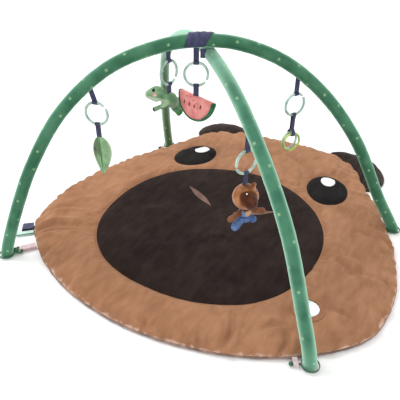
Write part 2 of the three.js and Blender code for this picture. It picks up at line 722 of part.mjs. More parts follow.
function leg({ from, to, radius }) {
  const start = new THREE.Vector3(...from);
  const end = new THREE.Vector3(...to);
  const stations = [0, 0.15, 0.6, 0.92, 1].map((share, index) => ({
    ...start.clone().lerp(end, share),
    wide: radius * LEG_SIZES[index],
    tall: radius * LEG_SIZES[index],
  }));
  return stuffed(stations, 7);
}

const lizard = add('lizard', joined(stuffed(LIZARD_BODY, 12), ...LIZARD_LEGS.map(leg)),
  cloth(COLOURS.lizard));
lizard.rotation.z = THREE.MathUtils.degToRad(LIZARD.heading);
lizard.position.set(LIZARD.x, LIZARD.y, LIZARD.z);

// Small brown animal in blue trousers: its face looks along -Y before it is turned
const plush = new THREE.Group();
plush.position.set(PLUSH.x, PLUSH.y, PLUSH.z);
plush.rotation.z = THREE.MathUtils.degToRad(PLUSH.facing);
model.add(plush);
const head = joined(
  ball(0, 0, 0, PLUSH.head, PLUSH.head - 1, PLUSH.head, 16, 12),
  ball(-17, -3, 25, 6.5, 4, 6.5, 8, 6),
  ball(17, -3, 25, 6.5, 4, 6.5, 8, 6),
);
add('plush_head', head, cloth(COLOURS.fur), plush);
const muzzleBall = ball(0, -PLUSH.head + 5, -2, 14, 11, 17, 12, 10);
add('plush_muzzle', cutAway(muzzleBall, ball(0, 0, 0, PLUSH.head + 1, PLUSH.head, PLUSH.head + 1, 24, 16)),
  cloth(COLOURS.muzzle), plush);

// A limb from its stations: x, y, z and half size
function limb(stations, sides) {
  const rounded = stations.map(([x, y, z, half]) => ({ x, y, z, wide: half, tall: half }));
  return stuffed(rounded, sides);
}

const front = new THREE.Vector3(0, 1, 0);
const torso = joined(
  stuffed([
    { x: 0, y: 0, z: -30.4, wide: 8, tall: 8 },
    { x: 0, y: 0, z: -35, wide: 12.5, tall: 13 },
    { x: 0, y: 0, z: -46, wide: 14, tall: 14.5 },
  ], 12, front),
  limb([[-9, 0, -36, 5], [-20, -2, -39, 6.3], [-33, -5, -42, 6.8], [-41, -6, -43, 6.5], [-45, -6.5, -43.5, 3]], 8),
  limb([[9, -2, -36, 5], [20, -7, -37, 6.3], [32, -13, -38, 6.8], [38, -16, -38.5, 6.5], [42, -18, -39, 3]], 8),
);
add('plush_body', torso, cloth(COLOURS.fur), plush);
const trousers = joined(
  stuffed([
    { x: 0, y: 0, z: -46.6, wide: 14.4, tall: 15 },
    { x: 0, y: 0, z: -53, wide: 15.5, tall: 16 },
    { x: -1, y: 0, z: -59, wide: 13, tall: 14 },
    { x: -2, y: 0, z: -64, wide: 7, tall: 8 },
  ], 12, front),
  limb([[-6, -2, -56, 7.5], [-18, -6, -59, 8.5], [-30, -11, -63, 8.8], [-36, -14, -66, 5]], 9),
  limb([[5, -3, -56, 7.5], [12, -9, -55.5, 8], [16, -15, -55, 8], [18, -19, -55, 4.5]], 9),
);
add('plush_trousers', trousers, cloth(COLOURS.denim), plush);

// Two teether rings in one ribbon that is wide enough for both bars
const teetherHanger = HANGERS[4];
const teetherTurn = teetherHanger.turn;
const bars = TEETHERS.z + TEETHERS.radius - 0.3;
const ringEye = teetherHanger.ring - RING.radius + 0.35;
function longRibbonShape() {
  const places = [
    [5, ringEye - 3.6], [3.2, ringEye - 8], [3.2, bars + 10], [9.2, bars + 4.2], [9.2, bars - 4.4],
    [7.8, bars - 5.4], [-7.8, bars - 5.4], [-9.2, bars - 4.4], [-9.2, bars + 4.2], [-3.2, bars + 10],
    [-3.2, ringEye - 8], [-5, ringEye - 3.6], [-5, ringEye + 3.4], [-3.4, ringEye + 5],
    [3.4, ringEye + 5], [5, ringEye + 3.4],
  ].map(([across, height]) => new THREE.Vector2(across, height));
  const shape = new THREE.Shape(places);
  const upperEye = new THREE.Path();
  upperEye.absarc(0, ringEye, RIBBON.holeRadius, 0, 2 * Math.PI, false);
  const lowerEye = new THREE.Path([
    [7.9, bars - 4.1], [7.9, bars + 3.6], [-7.9, bars + 3.6], [-7.9, bars - 4.1],
  ].map(([across, height]) => new THREE.Vector2(across, height)));
  shape.holes.push(upperEye, lowerEye);
  return shape;
}
const longRibbon = upright(longRibbonShape(), 10);
longRibbon.translate(0, 0, -5);
add('teether_ribbon', stoodUp(longRibbon, teetherHanger.x, teetherHanger.y, teetherTurn + 90),
  cloth(COLOURS.navy));

for (const [name, sign, colour] of [['teether_lime', -1, COLOURS.lime], ['teether_mint', 1, COLOURS.mint]]) {
  const hoop = add(name, new THREE.TorusGeometry(TEETHERS.radius, TEETHERS.bar, 6, 28), plastic(colour));
  const away = THREE.MathUtils.degToRad(teetherTurn + 90);
  hoop.rotation.order = 'ZXY';
  hoop.rotation.set(Math.PI / 2, 0, THREE.MathUtils.degToRad(teetherTurn + sign * TEETHERS.splay));
  hoop.position.set(
    teetherHanger.x + sign * TEETHERS.apart * Math.cos(away),
    teetherHanger.y + sign * TEETHERS.apart * Math.sin(away),
    TEETHERS.z,
  );
}

// At the mat's edge: tape loops and ties for the feet, and ribbon tags

// A band loop that leaves the edge: out is its reach, drawn from the side and as wide as stated
function edgeLoop(name, share, wide, reach, tall, thick, base, colour) {
  const root = onOutline(share, -4.2, 0);
  const along = outline.getTangentAt(((share % 1) + 1) % 1);
  const outward = Math.atan2(-along.x, along.y);
  const side = new THREE.Shape();
  const low = base;
  const high = base + tall;
  side.moveTo(0, low);
  side.lineTo(reach - tall / 2, low);
  side.absarc(reach - tall / 2, (low + high) / 2, tall / 2, -Math.PI / 2, Math.PI / 2, false);
  side.lineTo(0, high);
  side.closePath();
  const hole = new THREE.Path();
  hole.moveTo(thick, low + thick);
  hole.lineTo(thick, high - thick);
  hole.lineTo(reach - tall / 2, high - thick);
  hole.absarc(reach - tall / 2, (low + high) / 2, tall / 2 - thick, Math.PI / 2, -Math.PI / 2, true);
  hole.closePath();
  side.holes.push(hole);
  const geometry = upright(side, wide);
  geometry.translate(0, 0, -wide / 2);
  geometry.rotateX(Math.PI / 2);
  const mesh = add(name, geometry, cloth(colour));
  mesh.rotation.z = outward;
  mesh.position.copy(root);
  return { root, outward };
}

const TAG_NAVY = { x: -430, y: -178, wide: 26, reach: 30, tall: 12 };
const TAG_MINT = { x: -414.5, y: -191.5, wide: 12, reach: 46, tall: 6 };
edgeLoop('tag_navy', outlineShareNear(TAG_NAVY.x, TAG_NAVY.y), TAG_NAVY.wide, TAG_NAVY.reach,
  TAG_NAVY.tall, 1.5, 2.5, COLOURS.navy);
edgeLoop('tag_mint', outlineShareNear(TAG_MINT.x, TAG_MINT.y), TAG_MINT.wide, TAG_MINT.reach,
  TAG_MINT.tall, 1.5, 2.5, COLOURS.mint);

// Feet: the tape loop beside each, how far it stands out, and how far along the edge it sits
const TIE = { low: 4, high: 9, ringInner: 16.8, ringOuter: 18.1, knot: 5.8 };
const FEET = [
  { name: 'front_left', arch: ARCH_OVER, end: 'from', aside: 0, reach: 40 },
  { name: 'front_right', arch: ARCH_UNDER, end: 'from', aside: -30, reach: 17 },
  { name: 'back_right', arch: ARCH_OVER, end: 'to', aside: 30, reach: 18.3 },
  { name: 'back_left', arch: ARCH_UNDER, end: 'to', aside: 30, reach: 18.3 },
];

function footCentre(arch, end) {
  const { curve } = archCurve(arch);
  const height = (TIE.low + TIE.high) / 2;
  let best = end === 'from' ? 0 : 1;
  for (let step = 0; step <= 40; step += 1) {
    const share = end === 'from' ? step / 800 : 1 - step / 800;
    if (Math.abs(curve.getPointAt(share).z - height) < Math.abs(curve.getPointAt(best).z - height)) {
      best = share;
    }
  }
  return curve.getPointAt(best).setZ(0);
}

function flatRing(centre, inner, outer, low, high) {
  const shape = new THREE.Shape();
  shape.absarc(0, 0, outer, 0, 2 * Math.PI, false);
  const hole = new THREE.Path();
  hole.absarc(0, 0, inner, 0, 2 * Math.PI, true);
  shape.holes.push(hole);
  const geometry = new THREE.ExtrudeGeometry(shape, {
    depth: high - low, bevelEnabled: false, curveSegments: 10,
  });
  geometry.translate(centre.x, centre.y, low);
  return geometry;
}

function strand(from, to, low, high, half) {
  const run = to.clone().sub(from);
  const shape = new THREE.Shape([
    new THREE.Vector2(0, -half), new THREE.Vector2(run.length(), -half),
    new THREE.Vector2(run.length(), half), new THREE.Vector2(0, half),
  ]);
  const geometry = upright(shape, high - low);
  geometry.rotateZ(Math.atan2(run.y, run.x));
  geometry.translate(from.x, from.y, low);
  return geometry;
}

const outlineLength = outline.getLength();
for (const foot of FEET) {
  const centre = footCentre(foot.arch, foot.end);
  const share = outlineShareNear(centre.x, centre.y) + foot.aside / outlineLength;
  const wide = foot.aside === 0 ? 13 : 10;
  const { root, outward } = edgeLoop(`loop_${foot.name}`, share, wide, foot.reach, 12, 1.2, 0.8, COLOURS.tape);
  const out = new THREE.Vector3(Math.cos(outward), Math.sin(outward), 0);
  const inLoop = root.clone().addScaledVector(out, foot.reach - 5.2).setZ(0);
  const pieces = [flatRing(centre, TIE.ringInner, TIE.ringOuter, TIE.low, TIE.high)];
  const toLoop = inLoop.clone().sub(centre);
  const aim = toLoop.clone().normalize();
  const ringEdge = centre.clone().addScaledVector(aim, (TIE.ringInner + TIE.ringOuter) / 2);
  if (foot.aside === 0) {
    // the tie goes out on one side of the tape, through its loop, and back on the other
    const knot = centre.clone().addScaledVector(aim, TIE.ringOuter + TIE.knot - 2);
    const bend = centre.clone().addScaledVector(aim, TIE.ringOuter + TIE.knot + 2);
    const aside = new THREE.Vector3(-aim.y, aim.x, 0).multiplyScalar(wide / 2 + 3);
    pieces.push(ball(knot.x, knot.y, 8.5, TIE.knot, TIE.knot, TIE.knot - 0.5, 10, 8));
    for (const way of [-1, 1]) {
      const turnPoint = bend.clone().addScaledVector(aside, way);
      const corner = inLoop.clone().addScaledVector(aside, way);
      pieces.push(
        strand(knot, turnPoint, TIE.low, TIE.high - 0.6, 1.3),
        strand(turnPoint, corner, TIE.low, TIE.high - 0.6, 1.3),
        strand(inLoop, corner, TIE.low, TIE.high - 0.6, 1.3),
        ball(corner.x, corner.y, 6.2, 2, 2, 2.4, 8, 6),
        ball(turnPoint.x, turnPoint.y, 6.2, 2, 2, 2.4, 8, 6),
      );
    }
  } else {
    // the tie runs straight through the loop and is knotted behind it
    const beyond = inLoop.clone().addScaledVector(aim, wide / 2 + 4);
    pieces.push(
      strand(ringEdge, beyond, TIE.low + 0.4, TIE.high - 0.8, 1.4),
      ball(beyond.x, beyond.y, 6.6, 4.5, 4.5, 5, 10, 8),
    );
  }
  add(`tie_${foot.name}`, joined(...pieces), cloth(COLOURS.darkGreen));
}

// The origin is the middle of the footprint, on the floor
const extent = new THREE.Box3().setFromObject(model);
const middle = extent.getCenter(new THREE.Vector3());
model.position.set(-middle.x, -middle.y, -extent.min.z);

export default model;
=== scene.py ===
# Padded baby play mat in the shape of a plain animal face, with two crossed padded arches that stand
# at its edge and carry hanging toys. Metres, Z up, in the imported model's own frame.

import math

import bmesh
import bpy
import numpy as np
from mathutils import Euler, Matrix, Quaternion, Vector, noise
from mathutils.bvhtree import BVHTree


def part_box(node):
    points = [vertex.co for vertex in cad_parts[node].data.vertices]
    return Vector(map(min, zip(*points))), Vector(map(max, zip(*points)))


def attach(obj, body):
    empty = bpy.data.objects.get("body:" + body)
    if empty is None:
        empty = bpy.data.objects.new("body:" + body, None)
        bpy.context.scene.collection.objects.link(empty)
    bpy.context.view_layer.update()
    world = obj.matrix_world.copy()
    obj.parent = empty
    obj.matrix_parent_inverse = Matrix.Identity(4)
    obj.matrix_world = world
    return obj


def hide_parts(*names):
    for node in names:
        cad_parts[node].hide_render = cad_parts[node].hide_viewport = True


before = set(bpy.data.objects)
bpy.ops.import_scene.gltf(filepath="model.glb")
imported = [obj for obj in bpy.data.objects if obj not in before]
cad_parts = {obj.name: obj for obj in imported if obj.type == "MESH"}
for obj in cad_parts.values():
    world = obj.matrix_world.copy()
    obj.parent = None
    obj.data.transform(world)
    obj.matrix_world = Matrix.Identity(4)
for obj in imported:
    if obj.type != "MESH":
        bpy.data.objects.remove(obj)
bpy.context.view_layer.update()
scene = bpy.context.scene


# Studio
# A plain pale floor in soft light from the upper left, seen from the photograph's place: a little
# above the mat's front right, with a short roll of the camera.

CAMERA_PLACE = Vector((0.4331, -1.0241, 0.7592))
CAMERA_AIM = Vector((-0.1036, -0.0071, 0.0))
CAMERA_ROLL = math.radians(0.7)
CAMERA_LENS = 42.3

camera = bpy.data.objects.new("camera", bpy.data.cameras.new("camera"))
scene.collection.objects.link(camera)
camera.data.lens = CAMERA_LENS
camera.location = CAMERA_PLACE
camera.rotation_mode = "QUATERNION"
looking = (CAMERA_AIM - CAMERA_PLACE).to_track_quat("-Z", "Y")
camera.rotation_quaternion = looking @ Quaternion((0, 0, 1), CAMERA_ROLL)
scene.camera = camera
scene.view_settings.view_transform = "Standard"


def soft_light(name, place, size, watts):
    lamp = bpy.data.lights.new(name, "AREA")
    lamp.size = size
    lamp.energy = watts
    lit = bpy.data.objects.new(name, lamp)
    scene.collection.objects.link(lit)
    lit.location = place
    lit.rotation_euler = (-Vector(place)).to_track_quat("-Z", "Y").to_euler()


soft_light("key_light", (-1.5, -0.3, 2.0), 1.1, 25)
soft_light("fill_light", (2.2, -0.9, 1.5), 2.0, 5)
soft_light("back_light", (0.2, 2.4, 1.8), 1.8, 12)

world = bpy.data.worlds.new("pale_room")
world.use_nodes = True
world.node_tree.nodes["Background"].inputs["Color"].default_value = (1, 1, 1, 1)
world.node_tree.nodes["Background"].inputs["Strength"].default_value = 0.95
scene.world = world


class Socket:
    """One output in a node tree. Python's own operators on it add Math nodes to the tree."""

    def __init__(self, tree, output=None):
        self.tree = tree
        self.output = output

    def node(self, kind, settings=None, inputs=None, output=0):
        """Adds a node of any other kind: its settings first, then the values or links it takes."""
        made = self.tree.nodes.new(kind)
        for name, setting in (settings or {}).items():
            if name == "stops":
                ramp = made.color_ramp.elements
                while len(ramp) < len(setting):
                    ramp.new(0.5)
                for stop, (place, colour) in zip(ramp, setting):
                    stop.position = place
                    stop.color = colour
            else:
                setattr(made, name, setting)
        for place, value in (inputs or {}).items():
            if isinstance(value, Socket):
                self.tree.links.new(value.output, made.inputs[place])
            else:
                made.inputs[place].default_value = value
        return Socket(self.tree, made.outputs[output])

    def math(self, operation, *values):
        return self.node("ShaderNodeMath", {"operation": operation}, dict(enumerate(values)))

    def __add__(self, other):
        return self.math("ADD", self, other)

    __radd__ = __add__

    def __sub__(self, other):
        return self.math("SUBTRACT", self, other)

    def __rsub__(self, other):
        return self.math("SUBTRACT", other, self)

    def __mul__(self, other):
        return self.math("MULTIPLY", self, other)

    __rmul__ = __mul__

    def __truediv__(self, other):
        return self.math("DIVIDE", self, other)

    def own_place(self):
        """The place on the piece, in the mat's own layout."""
        return self.node("ShaderNodeTexCoord", output="Object")

    def noise(self, scale, detail=2.0):
        """Cloudy noise, about 0.5, read at this place."""
        return self.node("ShaderNodeTexNoise", {}, {"Vector": self, "Scale": scale, "Detail": detail})

    def step(self, low, high):
        """0 below low and 1 above high, with a soft change between."""
        return self.node("ShaderNodeMapRange", {"interpolation_type": "SMOOTHSTEP"},
                         {"Value": self, "From Min": low, "From Max": high})

    def parts(self):
        """The three numbers of a place."""
        return [self.node("ShaderNodeSeparateXYZ", {}, {0: self}, axis) for axis in range(3)]

    def spot(self, centre, reach):
        """1 within an oval about the centre, of the stated reach along each axis, and 0 outside it."""
        away = self.node("ShaderNodeVectorMath", {"operation": "SUBTRACT"}, {0: self, 1: centre})
        away = away.node("ShaderNodeVectorMath", {"operation": "DIVIDE"}, {0: away, 1: reach})
        length = away.node("ShaderNodeVectorMath", {"operation": "LENGTH"}, {0: away}, "Value")
        return 1 - length.step(0.75, 1.2)

    def mixed(self, colour, other, share):
        return self.node("ShaderNodeMix", {"data_type": "RGBA"}, {0: share, 6: colour, 7: other}, 2)

    def into(self, shader, name):
        self.tree.links.new(self.output, shader.inputs[name])

    def raises(self, shader, strength, distance):
        """Takes this as the height of the surface's fine relief."""
        relief = {"Strength": strength, "Distance": distance, "Height": self}
        self.node("ShaderNodeBump", {}, relief).into(shader, "Normal")


def dye(red, green, blue):
    """A colour as a screen shows it, from 0 to 255, turned to linear light."""
    shares = (red / 255, green / 255, blue / 255)
    return tuple(c / 12.92 if c < 0.04 else ((c + 0.055) / 1.055) ** 2.4 for c in shares) + (1.0,)


def new_finish(name, fixed):
    """A material, a Socket on its tree, and its shader with the values that stay fixed."""
    material = bpy.data.materials.new(name)
    material.use_nodes = True
    shader = material.node_tree.nodes["Principled BSDF"]
    for socket, value in fixed.items():
        shader.inputs[socket].default_value = value
    return material, Socket(material.node_tree), shader


def bloom(material, tree, shader, pale, low, high):
    """Lays a painted pale sheen over the shader, seen only where the cloth turns away from the eye."""
    # The pale diffuse nap here is the painted sheen
    nap = tree.node("ShaderNodeBsdfDiffuse", {}, {"Color": pale, "Roughness": 0.6})
    edge_on = tree.node("ShaderNodeLayerWeight", {}, {"Blend": 0.5}, "Facing").step(low, high)
    plain = Socket(tree.tree, shader.outputs[0])
    both = tree.node("ShaderNodeMixShader", {}, {0: edge_on, 1: plain, 2: nap})
    tree.tree.links.new(both.output, material.node_tree.nodes["Material Output"].inputs["Surface"])


def floor_paper():
    material, tree, shader = new_finish("floor_paper", {"Roughness": 0.9, "Specular IOR Level": 0.1})
    place = tree.own_place()
    fibres = place.noise(140, 3)
    tree.mixed((0.97, 0.97, 0.97, 1), (1, 1, 1, 1), fibres).into(shader, "Base Color")
    return material


floor_mesh = bpy.data.meshes.new("floor")
floor_mesh.from_pydata([(-9, -9, 0), (9, -9, 0), (9, 9, 0), (-9, 9, 0)], [], [(0, 1, 2, 3)])
floor = bpy.data.objects.new("floor", floor_mesh)
scene.collection.objects.link(floor)
floor_mesh.materials.append(floor_paper())


# Mat top
# Tan short-pile velour over a thin filling, cut as an animal face with a broad forehead. It is sewn
# to the backing along a seam round the side, and stitched down round the muzzle and the eyes.

muzzle_low, muzzle_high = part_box("muzzle")
MUZZLE = {"x": -0.010, "y": 0.065, "wide": 0.291, "tall": 0.289, "below": 2.28, "above": 1.96}
EYES = {"middle": -0.0075, "apart": 0.2215, "y": 0.373, "wide": 0.059, "tall": 0.078, "lean": 18}
# Everything on the mat is laid out from the floor point between the four feet, as in the CAD
FACE = Vector(((muzzle_low.x + muzzle_high.x) / 2 - MUZZLE["x"],
               (muzzle_low.y + muzzle_high.y) / 2 - MUZZLE["y"], 0))

# Half of the cut outline, from chin to forehead
OUTLINE = [(0.170, -0.306), (0.285, -0.260), (0.375, -0.200), (0.440, -0.125), (0.466, 0.005),
           (0.456, 0.110), (0.430, 0.210), (0.372, 0.350), (0.322, 0.440), (0.272, 0.540),
           (0.205, 0.605), (0.100, 0.633)]
CHIN = -0.329
FOREHEAD = 0.640
SKEW = math.radians(1.8)
AROUND = 340
MAT_TOP = 0.023
# From the filling's underside, out to the side seam and up over the puffed side: inset and height
PAD_SIDE = [(0.0060, 0.0022), (0.0036, 0.0046), (0.0028, 0.0074), (0.0002, 0.0088), (-0.0012, 0.0104),
            (-0.0012, 0.0128), (0.0004, 0.0152), (0.0036, 0.0174), (0.0085, 0.0192), (0.0155, 0.0206),
            (0.0240, 0.0217), (0.0340, 0.0225), (0.0440, 0.0229)]
CHEEK_ROWS = 26
MUZZLE_ROWS = 9


def smooth_line(places, closed, count):
    """A smooth curve through the places, as count points at equal steps of its length."""
    places = np.array(places, float)
    if closed:
        before, after = places[-1:], places[:2]
    else:
        before, after = 2 * places[:1] - places[1:2], 2 * places[-1:] - places[-2:-1]
    run = np.vstack([before, places, after])
    dense = []
    for a, b, c, d in zip(run, run[1:], run[2:], run[3:]):
        knots = np.cumsum([0] + [np.linalg.norm(q - p) ** 0.5 for p, q in ((a, b), (b, c), (c, d))])
        t = np.linspace(knots[1], knots[2], 30, endpoint=False)[:, None]

        def between(p, q, i, j):
            return ((knots[j] - t) * p + (t - knots[i]) * q) / (knots[j] - knots[i])

        ab, bc, cd = between(a, b, 0, 1), between(b, c, 1, 2), between(c, d, 2, 3)
        dense.append(between(between(ab, bc, 0, 2), between(bc, cd, 1, 3), 1, 2))
    dense.append(run[1:2] if closed else run[-2:-1])
    dense = np.vstack(dense)
    reach = np.concatenate([[0], np.cumsum(np.linalg.norm(np.diff(dense, axis=0), axis=1))])
    wanted = np.linspace(0, reach[-1], count, endpoint=not closed)
    return np.stack([np.interp(wanted, reach, axis) for axis in dense.T], axis=1)


def steps_round(count):
    """Angles at equal steps once round a circle."""
    return np.linspace(0, 2 * math.pi, count, endpoint=False)


def turned(x, y, angle):
    return x * math.cos(angle) - y * math.sin(angle), x * math.sin(angle) + y * math.cos(angle)


half_left = [(-x, y) for x, y in reversed(OUTLINE)]
outline_places = [(0, CHIN)] + OUTLINE + [(0, FOREHEAD)] + half_left
rim = smooth_line([turned(x, y, SKEW) for x, y in outline_places], True, AROUND)
rim_run = np.roll(rim, -1, axis=0) - np.roll(rim, 1, axis=0)
rim_run /= np.linalg.norm(rim_run, axis=1)[:, None]
rim_inward = np.column_stack([-rim_run[:, 1], rim_run[:, 0]])


def wander(points, size, seed):
    """Smooth unevenness from -1 to 1 at each point, with waves of about the stated size."""
    return np.array([noise.noise(Vector((*point[:2], seed)) / size + Vector((seed, 0, 0)))
                     for point in points])


def oval_place(shape, angle):
    """Points on the muzzle's rounded edge in the directions of the angle."""
    power = np.where(np.sin(angle) < 0, shape["below"], shape["above"])
    across, along = np.abs(np.cos(angle)) / shape["wide"], np.abs(np.sin(angle)) / shape["tall"]
    reach = (across ** power + along ** power) ** (-1 / power)
    return np.column_stack([shape["x"] + reach * np.cos(angle), shape["y"] + reach * np.sin(angle)])


def near_eye(points, side):
    """How far outside the edge of an eye each point is, about, in metres."""
    x = points[:, 0] - EYES["middle"] - side * EYES["apart"]
    across, along = turned(x, points[:, 1] - EYES["y"], -side * math.radians(EYES["lean"]))
    return (np.hypot(across / EYES["wide"], along / EYES["tall"]) - 1) * (EYES["wide"] + EYES["tall"]) / 2


def near_muzzle(points):
    """How far outside the muzzle's edge each point is, in metres."""
    away = points[:, :2] - (MUZZLE["x"], MUZZLE["y"])
    edge = oval_place(MUZZLE, np.arctan2(away[:, 1], away[:, 0])) - (MUZZLE["x"], MUZZLE["y"])
    return np.linalg.norm(away, axis=1) - np.linalg.norm(edge, axis=1)


def skin(rings):
    """Corners and faces of a closed body over rings of equal count, closed by a fan at each end."""
    count = len(rings[0])
    corners = [tuple(corner) for ring in rings for corner in ring]
    faces = []
    for ring in range(len(rings) - 1):
        for step in range(count):
            here = ring * count + step
            beside = ring * count + (step + 1) % count
            faces.append((here, beside, beside + count, here + count))
    for ring in (0, len(rings) - 1):
        tip = len(corners)
        corners.append(tuple(np.mean(rings[ring], axis=0)))
        first = ring * count
        faces += [(first + step, first + (step + 1) % count, tip) for step in range(count)]
    return corners, faces


def shown(name, mesh, material):
    """An object of that mesh at the origin, with a smooth surface of one material."""
    mesh.name = name
    mesh.materials.clear()
    mesh.materials.append(material)
    mesh.shade_smooth()
    obj = bpy.data.objects.new(name, mesh)
    scene.collection.objects.link(obj)
    return obj


def sewn(name, corners, faces, material, smoothing=0):
    """A piece of the mat from corners in the face's layout, with its faces turned outwards."""
    mesh = bpy.data.meshes.new(name)
    mesh.from_pydata([tuple(FACE + Vector(corner)) for corner in corners], [], faces)
    body = bmesh.new()
    body.from_mesh(mesh)
    bmesh.ops.remove_doubles(body, verts=body.verts, dist=1e-6)
    bmesh.ops.recalc_face_normals(body, faces=body.faces)
    body.to_mesh(mesh)
    body.free()
    obj = shown(name, mesh, material)
    if smoothing:
        rounding = obj.modifiers.new("rounding", "SUBSURF")
        rounding.levels = rounding.render_levels = smoothing
        settle(obj)
    return obj


def settle(obj):
    """Turns what the object's modifiers show into its plain mesh."""
    view = bpy.context.evaluated_depsgraph_get()
    mesh = bpy.data.meshes.new_from_object(obj.evaluated_get(view), depsgraph=view)
    obj.modifiers.clear()
    obj.data = mesh
    mesh.shade_smooth()
    return obj


def fitted(obj, slot, *nodes):
    """The piece rides with the mat and stands for the CAD nodes, which it hides. The slot is not used."""
    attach(obj, "root")
    if nodes:
        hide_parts(*nodes)
    return obj


def corners_of(obj):
    flat = np.empty(len(obj.data.vertices) * 3)
    obj.data.vertices.foreach_get("co", flat)
    return flat.reshape(-1, 3)


def move_corners(obj, corners):
    obj.data.vertices.foreach_set("co", np.ascontiguousarray(corners).ravel())
    obj.data.update()


def fill_out(obj, pressure, furthest, held=None, slack=0.0):
    """Fills the piece in a short cloth simulation. held says how firmly each corner stays, 0 to 1,
    and no corner moves further than stated."""
    start = corners_of(obj)
    filling = obj.modifiers.new("filling", "CLOTH")
    filling.settings.use_pressure = True
    filling.settings.uniform_pressure_force = pressure
    filling.settings.effector_weights.gravity = 0
    filling.settings.shrink_min = -slack
    if held is not None:
        pins = obj.vertex_groups.new(name="stitched")
        for corner in np.nonzero(held > 0.01)[0]:
            pins.add([int(corner)], float(held[corner]), "REPLACE")
        filling.settings.vertex_group_mass = "stitched"
    for picture in range(1, 21):
        scene.frame_set(picture)
    settle(obj)
    scene.frame_set(1)
    obj.vertex_groups.clear()
    move = corners_of(obj) - start
    reach = np.linalg.norm(move, axis=1)[:, None]
    move_corners(obj, start + move * np.minimum(1, furthest / np.maximum(reach, 1e-9)))


def velour(name, dark, light, sheen, glow, painted_side_sheen=None):
    """Short pile: clouds where it lies another way, brushed streaks both ways and a pale bloom edge on.
    The side sheen is a pale highlight, painted where the velour turns down to the side seam."""
    material, tree, shader = new_finish(name, {
        "Specular IOR Level": 0.12, "Sheen Weight": sheen, "Sheen Roughness": 0.45, "Sheen Tint": glow})
    place = tree.own_place()
    swept, crossed = (place.node("ShaderNodeMapping", {}, {
        "Vector": place, "Rotation": (0, 0, turn), "Scale": (1, squeeze, 1)})
        for turn, squeeze in ((0.5, 0.5), (-0.8, 0.35)))
    clouds = place.noise(6, 3)
    brushed = swept.noise(30, 5)
    wrinkles = crossed.noise(75, 3)
    pile = place.noise(850, 2)
    nap = (clouds * 0.3 + brushed * 0.28 + wrinkles * 0.26 + pile * 0.16).step(0.36, 0.65)
    colour = tree.mixed(dark, light, nap)
    if painted_side_sheen is not None:
        # Painted pale sheen on the low side of the pad, where the velour turns down to the side seam
        height = place.parts()[2]
        painted_side_sheen_mask = (1 - height.step(0.0095, 0.0150)) * wrinkles.step(0.36, 0.6)
        colour = tree.mixed(colour, painted_side_sheen, painted_side_sheen_mask * 0.6)
    colour.into(shader, "Base Color")
    (0.97 - nap * 0.12).into(shader, "Roughness")
    depth = pile * 0.3 + brushed * 0.4 + wrinkles * 0.5
    depth.raises(shader, 0.55, 0.0016)
    return material


# Its last colour is the painted pale sheen along the side of the pad
tan_velour = velour("tan_velour", dye(142, 99, 71), dye(172, 125, 94), 0.26, dye(235, 200, 172),
                    dye(236, 204, 184))

# The side wanders in and out by this much. The velour is drawn in to the seam in soft puckers, and the
# creases are worked a little higher than their table states.
SIDE_WANDER = 0.0072
PUCKERS = {"high": 0.0060, "in_from_rim": 0.012, "wide": 0.024}
CREASE_STRENGTH = 1.25

# Side rows, then the cheek out to the muzzle's stitching, then the part under the muzzle
side_waves = wander(rim, 0.045, 3.1) * 0.5 + wander(rim, 0.017, 8.4) * 0.5
pad_rings = []
for inset, height in PAD_SIDE:
    loose = math.sin(math.pi * min(max(height - 0.0088, 0) / 0.014, 1)) ** 0.5
    wave = side_waves * SIDE_WANDER * loose
    pad_rings.append(np.column_stack([rim + rim_inward * (inset + wave)[:, None],
                                      np.full(AROUND, height) - wave * 0.3]))
cheek = rim + rim_inward * PAD_SIDE[-1][0]
toward = np.arctan2(cheek[:, 1] - MUZZLE["y"], cheek[:, 0] - MUZZLE["x"])
muzzle_edge = oval_place(MUZZLE, toward)
for share in np.linspace(0, 1, CHEEK_ROWS + 1)[1:]:
    row = cheek + (muzzle_edge - cheek) * share
    pad_rings.append(np.column_stack([row, np.full(AROUND, MAT_TOP)]))
for share in np.linspace(0, 1, MUZZLE_ROWS + 1)[1:-1]:
    row = muzzle_edge + ((MUZZLE["x"], MUZZLE["y"]) - muzzle_edge) * share
    pad_rings.append(np.column_stack([row, np.full(AROUND, MAT_TOP)]))
padded_top = sewn("padded_top", *skin(pad_rings), tan_velour)

here = corners_of(padded_top) - FACE
seam = np.exp(-(near_muzzle(here) / 0.006) ** 2)
for side in (-1, 1):
    seam = np.maximum(seam, np.exp(-(near_eye(here, side) / 0.006) ** 2))
held = np.where(here[:, 2] < 0.0095, 1, seam)
fill_out(padded_top, pressure=1.2, furthest=0.004, held=held, slack=0.012)


def finer(rings):
    """The same surface with twice the rings and twice the corners in each, on smooth curves."""
    def between(a, b, c, d):
        return (9 * (b + c) - a - d) / 16

    round_middles = between(*(np.roll(rings, shift, axis=1) for shift in (1, 0, -1, -2)))
    rings = np.stack([rings, round_middles], axis=2).reshape(len(rings), -1, 3)
    stretched = np.concatenate([rings[:1], rings, rings[-1:]])
    middles = between(*(stretched[shift:len(rings) - 1 + shift] for shift in range(4)))
    woven = np.empty((2 * len(rings) - 1, *rings.shape[1:]))
    woven[::2], woven[1::2] = rings, middles
    return woven


filled = (corners_of(padded_top) - FACE)[:len(pad_rings) * AROUND].reshape(len(pad_rings), AROUND, 3)
bpy.data.objects.remove(padded_top)
padded_top = sewn("padded_top", *skin(finer(filled)), tan_velour)
